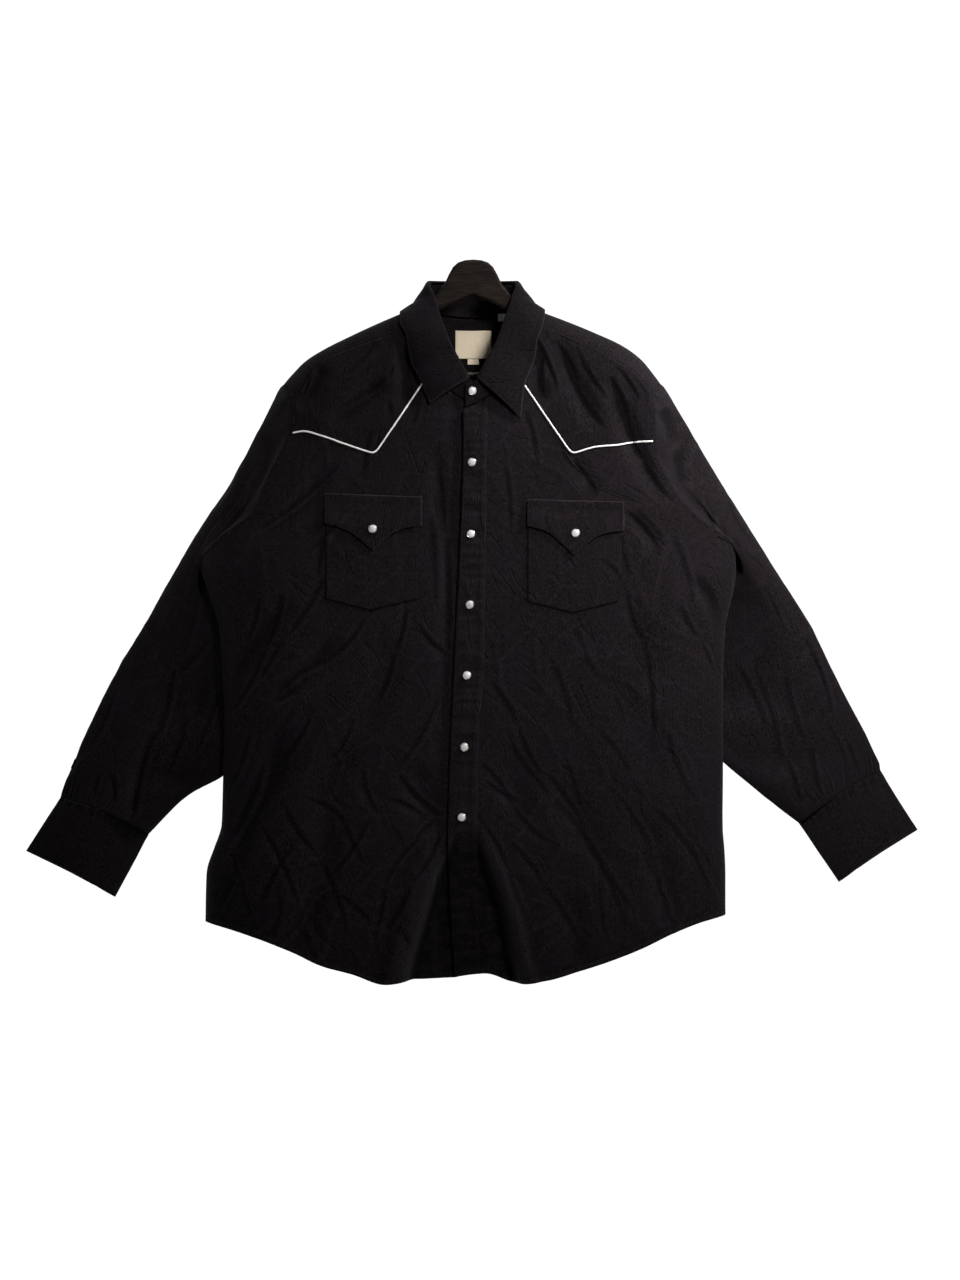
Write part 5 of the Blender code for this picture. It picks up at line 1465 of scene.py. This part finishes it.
for side, word in BOTH_SIDES:
    size = POCKETS[side]
    x = np.linspace(size["inner"], size["outer"], 45)
    low = np.interp(x, [size["inner"], size["low_x"], size["outer"]], [0, 1, 0])
    low = size["corner"] + (size["low"] - size["corner"]) * low
    share = np.linspace(0, 1, 50)[:, None]
    z = size["top"] + share * (low[None] - size["top"])
    x = np.broadcast_to(side * x, z.shape)
    raised = turned_edge(x, z, 0.25)
    sag = 1.2 * np.sin(share * math.pi) * soft_step((np.abs(x) - size["inner"]) / 30)
    sag = sag * soft_step((size["outer"] - np.abs(x)) / 30)
    sag = sag + 0.35 * rumple(x / 30, z / 30, 31 + side)
    grid = lying(x, z, (PATCH_LIFT + raised + np.abs(sag))[..., None])
    panels[f"pocket_{word}"] = grid
    # The pocket's bottom and side edges get painted shade.
    piece = sew(
        f"pocket_{word}_cloth", grid, PATCH_WALL, twill, flip=side == LEFT, lean=-30 * side,
        dark=1.3 * edge_near(grid, "bottom start end"),
    )
    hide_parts(f"pocket_{word}")

for side, word in BOTH_SIDES:
    rows = FLAPS[side]
    tip = int(np.argmin(rows["bottom"]))
    halves = (slice(None, tip + 1), slice(tip, None))
    runs = [np.linspace(rows["x"][half][0], rows["x"][half][-1], 37) for half in halves]
    lows = [through(rows["x"][h], rows["bottom"][h], run) for h, run in zip(halves, runs)]
    x, bottom = np.append(runs[0], runs[1][1:]), np.append(lows[0], lows[1][1:])
    top = np.interp(x, rows["x"], rows["top"])
    z = top + np.linspace(0, 1, 26)[:, None] * (bottom - top)
    x = np.broadcast_to(side * x, z.shape)
    raised = turned_edge(x, z, 0.3)
    lifted = 3.4 * soft_step((top[None] - z) / 38) + 0.7 * rumple(x / 18, z / 22, 37 + side)
    grid = lying(x, z, (FLAP_LIFT + raised + lifted)[..., None])
    panels[f"flap_{word}"] = grid
    piece = sew(
        f"flap_{word}_cloth", grid, PATCH_WALL, twill, flip=side == LEFT,
        wear_and_highlight="top bottom start end",
    )
    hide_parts(f"flap_{word}")

# ================================================================ piping
# White cotton piping, a bias strip round a thin cord, caught in the pointed yoke seams. Only
# its rounded edge shows, with the twist of the covered cord as a faint ripple.
PIPING_RADIUS = 1.05
PIPED_POINT = 3  # the row of the piped seam where its point is

# Bleached cotton over a twisted cord: matt and soft white, mottled every 1.4 mm by the twist.
piping_cotton, tree, shader = new_finish("white_cotton_piping", roughness=0.75, specular=0.3)
place = add_node(tree, "ShaderNodeTexCoord").outputs["Object"]
cord = add_node(tree, "ShaderNodeTexNoise", Vector=place, Scale=700.0, Detail=2.0)
tint = add_node(
    tree, "ShaderNodeMix", COLOUR, _0=cord, _6=linear("d8d3ce"), _7=linear("f2efec")
)
ripple = add_node(tree, "ShaderNodeBump", Strength=0.4, Distance=0.0004, Height=cord)
add_node(tree, shader, Base_Color=tint, Normal=ripple)


def piping_along(name, path):
    """The piping along a line of points, as a plain mesh with closed ends."""
    shape = bpy.data.curves.new(name, "CURVE")
    shape.dimensions = "3D"
    shape.bevel_depth = PIPING_RADIUS / 1000
    shape.bevel_resolution = 3
    shape.use_fill_caps = True
    spline = shape.splines.new("POLY")
    spline.points.add(len(path) - 1)
    for point, spot in zip(spline.points, path):
        point.co = (*(spot / 1000), 1)
    curve = bpy.data.objects.new(f"{name}_line", shape)
    bpy.context.scene.collection.objects.link(curve)
    graph = bpy.context.evaluated_depsgraph_get()
    mesh = bpy.data.meshes.new_from_object(curve.evaluated_get(graph))
    bpy.data.objects.remove(curve)
    mesh.name = name
    mesh.shade_smooth()
    mesh.materials.clear()
    mesh.materials.append(piping_cotton)
    return placed(name, mesh)


for side, word in BOTH_SIDES:
    line = seam(PIPED_SEAM, side)
    line[0] += 0.5 * (line[1] - line[0])
    parts = []
    for half in (line[: PIPED_POINT + 1], line[PIPED_POINT:]):
        place = np.arange(len(half), dtype=float)
        parts.append(through(place, half, np.linspace(0, len(half) - 1, 12 * len(half))))
    line = np.concatenate([parts[0], parts[1][1:]])
    for _ in range(7):  # the cord is too stiff to turn the point sharply
        line[1:-1] = (line[:-2] + 2 * line[1:-1] + line[2:]) / 4
    path = lying(line[:, 0], line[:, 1], PIPING_RADIUS * 0.75)
    piece = piping_along(f"piping_{word}_cord", path)
    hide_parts(f"piping_{word}")

# ================================================================ neck label, size tab, care tag
# A woven label sewn inside the back of the neck, left bare, with a small tab of the same
# ribbon under it, and a plain white satin tag that stands out of the stand's seam.
LABEL_WALL = 0.64
LABEL_LIFT = CLOTH + 0.8  # clear of the back of the yoke's cloth


def ribbon(name, light, dark, half_rib):
    """Woven ribbon with a little lustre and crosswise ribs, half of one given in metres.

    They are drawn several times coarser than real ones so that they can be seen at all.
    """
    material, tree, shader = new_finish(name, roughness=0.7, specular=0.25)
    spot = add_node(tree, "ShaderNodeUVMap", {"uv_map": "cloth"})
    ribs = add_node(
        tree, "ShaderNodeTexWave", {"bands_direction": "Y"},
        Vector=spot, Scale=1 / (half_rib * 6.283), Distortion=1.2, Detail=1.0, Detail_Scale=2.0,
    ).outputs["Fac"]
    fibres = add_node(tree, "ShaderNodeTexNoise", Vector=spot, Scale=900.0, Detail=2.0)
    woven = add_node(tree, "ShaderNodeMath", {"operation": "MULTIPLY"}, _0=ribs, _1=fibres)
    colour = add_node(
        tree, "ShaderNodeMix", COLOUR, _0=woven, _6=linear(light), _7=linear(dark)
    )
    bump = add_node(tree, "ShaderNodeBump", Strength=0.4, Distance=0.0002, Height=ribs)
    add_node(tree, shader, Base_Color=colour, Normal=bump)
    return material


# Undyed ribbon, woven close: a warm cream, a little browner between its ribs.
cream = ribbon("cream_woven_label", "efe0c6", "cdb898", 0.0007)
# White satin ribbon with cut ends: a cooler white, with smaller ribs.
satin = ribbon("white_satin_tag", "e6e4e0", "c4c2be", 0.0005)
for name, low_x, high_x, high_z, low_z, forward, finish, slot, flat_size in (
    ("neck_label", -21.4, 22.0, -81.5, -115.0, 0.8, cream, "label", (0.0434, 0.0335)),
    ("size_tab", -6.6, 6.9, -115.5, -122.0, 0.8, cream, "label", (0.0135, 0.0105)),
    ("care_tag", 29.8, 42.3, -62.0, -71.0, 5.4, satin, "care_tag", (0.0135, 0.0105)),
):
    x, z = np.meshgrid(np.linspace(low_x, high_x, 33), np.linspace(high_z, low_z, 25))
    grid = body_points(x, z, -1)
    if name == "care_tag":
        grid[..., 1] = grid[-1:, :, 1]  # it stands upright in front of the curve of the neck
    curl = 0.35 * np.cos((x - low_x) / (high_x - low_x) * 2 * math.pi)
    grid[..., 1] -= LABEL_LIFT + forward + curl
    piece = sew(f"{name}_ribbon", grid, LABEL_WALL, finish, flip=True)
    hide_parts(name)

# ================================================================ pearl snaps
# Ring snaps: a domed cap of pearly plastic held in a thin bright metal ring, pressed through
# the cloth; seven down the front, one on each flap and cuff. They are closed.
SNAP_RADIUS = 5.2
SNAP_SIDES = 40
# Profiles from the middle outwards: share of the radius, and height above the cloth.
PEARL = ((0.0, 3.0), (0.35, 2.92), (0.62, 2.65), (0.8, 2.2), (0.86, 1.7))
RIM = ((0.8, 1.9), (0.86, 2.25), (0.93, 2.3), (0.99, 1.9), (1.0, 1.2), (0.97, 0.4), (0.9, -0.2))

# Moulded plastic made to look like mother of pearl: cloudy, glossy, with a clear skin.
pearl_plastic, tree, shader = new_finish("pearl_plastic", roughness=0.22, specular=0.6)
place = add_node(tree, "ShaderNodeTexCoord").outputs["Object"]
clouds = add_node(  # 4 mm across
    tree, "ShaderNodeTexNoise", Vector=place, Scale=260.0, Detail=2.0, Distortion=1.5
)
pearly = add_node(
    tree, "ShaderNodeMix", COLOUR, _0=clouds, _6=linear("a9a6a6"), _7=linear("dedbd9")
)
add_node(tree, shader, Base_Color=pearly)
shader.inputs["Coat Weight"].default_value = 0.6
shader.inputs["Coat Roughness"].default_value = 0.08

# Stamped brass, nickel plated: bright, with small scuffs that dull it here and there.
snap_metal, tree, shader = new_finish("nickel_plated_brass", roughness=0.25, metallic=1.0)
place = add_node(tree, "ShaderNodeTexCoord").outputs["Object"]
scuffs = add_node(tree, "ShaderNodeTexNoise", Vector=place, Scale=420.0, Detail=3.0)
dulled = add_node(tree, "ShaderNodeMapRange", Value=scuffs, _1=0.3, _2=0.7, _3=0.18, _4=0.42)
add_node(tree, shader, Base_Color=linear("a3a09f"), Roughness=dulled)


def turned(profile, point, way):
    """Points and faces of a profile turned about way at point."""
    side = np.cross(way, (0.0, 0.3, 1.0))
    side /= np.linalg.norm(side)
    up = np.cross(way, side)
    angle = np.arange(SNAP_SIDES) * 2 * math.pi / SNAP_SIDES
    ring = np.cos(angle)[:, None] * side + np.sin(angle)[:, None] * up
    rows = [point + way * h + ring * share * SNAP_RADIUS for share, h in profile if share]
    points = np.concatenate(rows)
    faces = []
    for first in range(0, SNAP_SIDES * (len(rows) - 1), SNAP_SIDES):
        for i in range(SNAP_SIDES):
            j = (i + 1) % SNAP_SIDES
            low = first + SNAP_SIDES
            faces.append([first + i, first + j, low + j, low + i])
    if not profile[0][0]:
        points = np.concatenate([points, [point + way * profile[0][1]]])
        faces += [[len(points) - 1, (i + 1) % SNAP_SIDES, i] for i in range(SNAP_SIDES)]
    return points, faces


def add_snap(node, point, way):
    """The pearl and the ring of one snap, in place of its plain solid."""
    for suffix, profile, finish in (("pearl", PEARL, pearl_plastic), ("ring", RIM, snap_metal)):
        points, faces = turned(profile, point, way)
        mesh = bpy.data.meshes.new(f"{node}_{suffix}")
        mesh.from_pydata(points / 1000, [], faces)
        mesh.materials.append(finish)
        shape = bmesh.new()
        shape.from_mesh(mesh)
        bmesh.ops.recalc_face_normals(shape, faces=shape.faces)
        shape.to_mesh(mesh)
        shape.free()
        mesh.shade_smooth()
        piece = placed(f"{node}_{suffix}", mesh)
        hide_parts(node)


def nearest(grid, gap):
    """The point of a sheet where gap is least, and the unit way square to the sheet there."""
    row, column = np.unravel_index(np.argmin(gap), gap.shape)
    around = grid[max(row - 2, 0) : row + 3, max(column - 2, 0) : column + 3]
    way = normals_of(around)[around.shape[0] // 2, around.shape[1] // 2]
    return grid[row, column], way


# The six snaps down the band; the seventh is on the collar stand.
SNAPS = table("x z", (
    (-1, -244.5),
    (-2.4, -329),
    (-3.6, -412),
    (-7.1, -495.6),
    (-10.1, -580),
    (-13.1, -663),
))
places = [
    (f"snap_front_{number}", panels["front_band"], x, z)
    for number, (x, z) in enumerate(zip(SNAPS["x"], SNAPS["z"]), 1)
]
places += [
    ("snap_flap_left", panels["flap_left"], 121, -328),
    ("snap_flap_right", panels["flap_right"], -118.2, -323),
    ("snap_neck", panels["collar_stand"][:, -20:], -0.8, -160),
]
for name, grid, x, z in places:
    point, way = nearest(grid, (grid[..., 0] - x) ** 2 + (grid[..., 2] - z) ** 2)
    add_snap(name, np.array([x, point[1], z]), way * -np.sign(way[1]))
for side, word in BOTH_SIDES:
    low, high = (np.array(corner) * 1000 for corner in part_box(f"snap_cuff_{word}"))
    back_half = panels[f"cuff_{word}"][:, 100:]
    gap = np.linalg.norm(flat(back_half) - flat((low + high) / 2), axis=-1)
    point, way = nearest(back_half, gap - 0.02 * back_half[..., 1])
    add_snap(f"snap_cuff_{word}", point, way * np.sign(way[1]))

# ================================================================ wooden hanger
# A shaped hanger of dark varnished wood, cut from a board, with a plain bar across; only its
# head shows above the collar. The hook isn't part of this piece.

# Close-grained wood, stained almost black and varnished thin: a dull shine, brown streaks of
# grain 2.4 mm apart that run along the board, and broader darker bands.
hanger_wood, tree, shader = new_finish("dark_varnished_wood", roughness=0.5, specular=0.08)
place = add_node(tree, "ShaderNodeTexCoord").outputs["Object"]
along = add_node(tree, "ShaderNodeMapping", Vector=place, Scale=(0.12, 1, 1))
grain = add_node(
    tree, "ShaderNodeTexNoise", Vector=along, Scale=420.0, Detail=5.0, Roughness=0.6
)
board = add_node(tree, "ShaderNodeTexNoise", Vector=along, Scale=60.0, Detail=2.0)
streaked = add_node(tree, "ShaderNodeMapRange", Value=grain, _1=0.38, _2=0.62)
grained = add_node(
    tree, "ShaderNodeMix", COLOUR, _0=streaked, _6=linear("030202"), _7=linear("2e2218")
)
stained = add_node(tree, "ShaderNodeMix", COLOUR, _0=board, _6=linear("0e0a08"), _7=grained)
pores = add_node(tree, "ShaderNodeBump", Strength=0.3, Distance=0.0003, Height=grain)
add_node(tree, shader, Base_Color=stained, Normal=pores)

# Drawn steel rod, brushed: grey, with fine marks about 1 mm long that break up its shine.
bar_steel, tree, shader = new_finish("brushed_steel_bar", roughness=0.35, metallic=1.0)
place = add_node(tree, "ShaderNodeTexCoord").outputs["Object"]
brushed = add_node(tree, "ShaderNodeTexNoise", Vector=place, Scale=900.0, Detail=2.0)
sheen = add_node(tree, "ShaderNodeMapRange", Value=brushed, _1=0.3, _2=0.7, _3=0.28, _4=0.5)
add_node(tree, shader, Base_Color=linear("5a554f"), Roughness=sheen)
for node, finish in (("hanger", hanger_wood), ("hanger_bar", bar_steel)):
    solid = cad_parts[node]
    solid.data.materials.clear()
    solid.data.materials.append(finish)

# ================================================================ stitching
# Topstitching in dark cotton thread that stands a little out of the cloth: twin rows at the
# hem, the back yoke's seams, the stand, the cuffs' seams, the flaps' tops and the sewn edge
# of the band, and single rows elsewhere.
STITCH_PITCH = 3.0
STITCH_LENGTH = 2.3
THREAD_WIDTH = 0.5
THREAD_RISE = 0.15  # from the cloth to the middle of the thread

# Spun and twisted cotton, as dark as the cloth's valleys, with a fuzz of 0.7 mm that is too
# fine to show from further off.
thread_cotton, tree, shader = new_finish("dark_cotton_thread", roughness=0.85, specular=0.05)
place = add_node(tree, "ShaderNodeTexCoord").outputs["Object"]
fuzz = add_node(tree, "ShaderNodeTexNoise", Vector=place, Scale=1500.0, Detail=2.0)
spun = add_node(
    tree, "ShaderNodeMix", COLOUR, _0=fuzz, _6=linear("040303"), _7=linear("0c0a0b")
)
add_node(tree, shader, Base_Color=spun)

# A bead stretched to the length of a stitch stands at each step along a line, turned to run
# with the line and to face out of the cloth.
stitcher = bpy.data.node_groups.new("stitch_row", "GeometryNodeTree")
stitcher.interface.new_socket("Geometry", in_out="INPUT", socket_type="NodeSocketGeometry")
for label in ("Pitch", "Length", "Width"):
    stitcher.interface.new_socket(label, in_out="INPUT", socket_type="NodeSocketFloat")
stitcher.interface.new_socket("Thread", in_out="INPUT", socket_type="NodeSocketMaterial")
stitcher.interface.new_socket("Geometry", in_out="OUTPUT", socket_type="NodeSocketGeometry")
entry = stitcher.nodes.new("NodeGroupInput").outputs
line = add_node(stitcher, "GeometryNodeMeshToCurve", Mesh=entry["Geometry"])
dashes = add_node(
    stitcher, "GeometryNodeResampleCurve", {"mode": "LENGTH"},
    Curve=line, Length=entry["Pitch"],
)
tangent = add_node(stitcher, "GeometryNodeInputTangent")
outside = add_node(
    stitcher, "GeometryNodeInputNamedAttribute", {"data_type": "FLOAT_VECTOR"}, Name="outside"
)
heading = add_node(
    stitcher, "FunctionNodeAxesToRotation", {"primary_axis": "X", "secondary_axis": "Z"},
    Primary_Axis=tangent, Secondary_Axis=outside,
)
bead = add_node(stitcher, "GeometryNodeMeshIcoSphere", Radius=0.5, Subdivisions=1)
size = add_node(
    stitcher, "ShaderNodeCombineXYZ", X=entry["Length"], Y=entry["Width"], Z=entry["Width"]
)
stitches = add_node(
    stitcher, "GeometryNodeInstanceOnPoints",
    Points=dashes, Instance=bead, Rotation=heading, Scale=size,
)
sewn = add_node(stitcher, "GeometryNodeRealizeInstances", Geometry=stitches)
dressed = add_node(
    stitcher, "GeometryNodeSetMaterial", Geometry=sewn, Material=entry["Thread"]
)
add_node(stitcher, "NodeGroupOutput", Geometry=dressed)


def inset_row(name, edge, inset):
    """Points at a distance inwards from one edge of a panel, and the way out of the cloth."""
    grid = panels[name]
    packed = np.concatenate([grid, normals_of(grid) * faces_out[name]], axis=-1)
    packed = np.moveaxis(packed, 0 if edge in ("top", "bottom") else 1, 0)
    if edge in ("bottom", "end"):
        packed = packed[::-1]
    away = run_along(packed[..., :3])
    line = np.array([
        [np.interp(inset, away[:, i], packed[:, i, part]) for part in range(6)]
        for i in range(packed.shape[1])
    ])
    run = run_along(line[:, :3])
    return line[(run >= inset) & (run <= run[-1] - inset)]


def add_stitches(name, lines):
    """Rows of stitches, each from its points and ways out, made into one plain mesh."""
    points = np.concatenate([line[:, :3] + THREAD_RISE * line[:, 3:] for line in lines])
    edges, first = [], 0
    for line in lines:
        edges += [(first + i, first + i + 1) for i in range(len(line) - 1)]
        first += len(line)
    mesh = bpy.data.meshes.new(name)
    mesh.from_pydata(points / 1000, edges, [])
    outside = mesh.attributes.new("outside", "FLOAT_VECTOR", "POINT")
    ways = np.concatenate([line[:, 3:] for line in lines])
    outside.data.foreach_set("vector", ways.reshape(-1))
    piece = placed(name, mesh)
    maker = piece.modifiers.new("stitches", "NODES")
    maker.node_group = stitcher
    values = {
        "Pitch": STITCH_PITCH / 1000, "Length": STITCH_LENGTH / 1000,
        "Width": THREAD_WIDTH / 1000, "Thread": thread_cotton,
    }
    for socket in stitcher.interface.items_tree:
        if socket.in_out == "INPUT" and socket.name in values:
            maker[socket.identifier] = values[socket.name]
    graph = bpy.context.evaluated_depsgraph_get()
    made = bpy.data.meshes.new_from_object(piece.evaluated_get(graph))
    made.name = name
    piece.modifiers.clear()
    piece.data = made
    made.shade_smooth()


# Each row of stitches: the edge that it follows, and how far in from it.
for names, rows in (
    ("front_left front_right", "bottom 2.0, bottom 7.0, top 2.2"),
    ("back", "bottom 2.0, bottom 7.0"),
    ("back_yoke", "bottom 2.0, top 2.0, top 7.0"),
    ("front_yoke_left front_yoke_right", "top 2.0"),
    ("front_band", "start 4.0, end 2.0, end 7.5"),
    ("pocket_left pocket_right", "bottom 2.0, start 2.0, end 2.0"),
    ("flap_left flap_right", "top 2.0, top 8.0, bottom 4.0, start 4.0, end 4.0"),
    ("collar", "bottom 5.5, start 5.5, end 5.5"),
    ("collar_stand", "bottom 3.0, bottom 7.0"),
    ("cuff_left cuff_right", "top 3.0, top 7.0, bottom 3.0"),
    ("sleeve_left sleeve_right", "top 6.5"),
):
    for name in names.split():
        lines = [row.split() for row in rows.split(", ")]
        lines = [inset_row(name, edge, float(inset)) for edge, inset in lines]
        add_stitches(f"{name}_stitches", lines)

# ================================================================ studio
# White behind and soft light: a key above and to the viewer's right, so that the wearer's
# right side is darker, a raking light from the same side that picks out the folds, and a
# weak fill for the far sleeve.
FLOOR_Z = -3.0

# Matt emulsion on a plain floor, faintly uneven.
floor_paint, tree, shader = new_finish("pale_floor", roughness=0.9, specular=0.2)
place = add_node(tree, "ShaderNodeTexCoord").outputs["Object"]
mottle = add_node(tree, "ShaderNodeTexNoise", Vector=place, Scale=1.2, Detail=2.0)
painted = add_node(
    tree, "ShaderNodeMix", COLOUR, _0=mottle, _6=linear("d4d4d2"), _7=linear("dadad8")
)
add_node(tree, shader, Base_Color=painted)
mesh = bpy.data.meshes.new("floor")
corners = [(x, y, FLOOR_Z) for x, y in ((-6, -6), (6, -6), (6, 6), (-6, 6))]
mesh.from_pydata(corners, [], [(0, 1, 2, 3)])
mesh.materials.append(floor_paint)
floor = bpy.data.objects.new("floor", mesh)
bpy.context.scene.collection.objects.link(floor)
floor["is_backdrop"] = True

# The room is white behind the shirt and dimmer on the side that it faces.
world = bpy.context.scene.world or bpy.data.worlds.new("studio")
bpy.context.scene.world = world
world.use_nodes = True
room = world.node_tree
way = add_node(room, "ShaderNodeTexCoord").outputs["Generated"]
parts = add_node(room, "ShaderNodeSeparateXYZ", Vector=way).outputs
behind = add_node(
    room, "ShaderNodeMapRange", {"interpolation_type": "SMOOTHSTEP"},
    Value=parts["Y"], _1=-0.35, _2=0.35, _3=0.07, _4=1.05,
)
add_node(room, room.nodes["Background"], Color=(1, 1, 1, 1), Strength=behind)


def add_light(name, spot, aim, size, power, spread):
    """A gridded square light: places and size in metres, power in watts, spread in degrees."""
    lamp = bpy.data.lights.new(name, "AREA")
    lamp.size, lamp.energy, lamp.spread = size, power, math.radians(spread)
    light = bpy.data.objects.new(name, lamp)
    light.location = spot
    light.rotation_mode = "QUATERNION"
    way = Vector(aim) - Vector(spot)
    light.rotation_quaternion = way.to_track_quat("-Z", "Y")
    bpy.context.scene.collection.objects.link(light)


add_light("key", (0.78, -1.85, 0.66), (0.45, 0, -0.26), 0.45, 4.4, 42)
add_light("raking", (1.2, -0.45, 0.7), (0.05, 0, -0.25), 0.3, 1.6, 40)
add_light("fill", (-0.95, -1.7, 0.3), (-0.5, 0, -0.33), 0.4, 0.2, 17)

# The camera stands well back and square to the front, level with the middle of the shirt.
lens = bpy.data.cameras.new("camera")
lens.lens = 98.9
camera = bpy.data.objects.new("camera", lens)
camera.location = (0.0083, -4.2, -0.454)
camera.rotation_euler = (math.pi / 2, 0, 0)
bpy.context.scene.collection.objects.link(camera)
bpy.context.scene.camera = camera
bpy.context.scene.view_settings.view_transform = "Standard"

low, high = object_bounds()
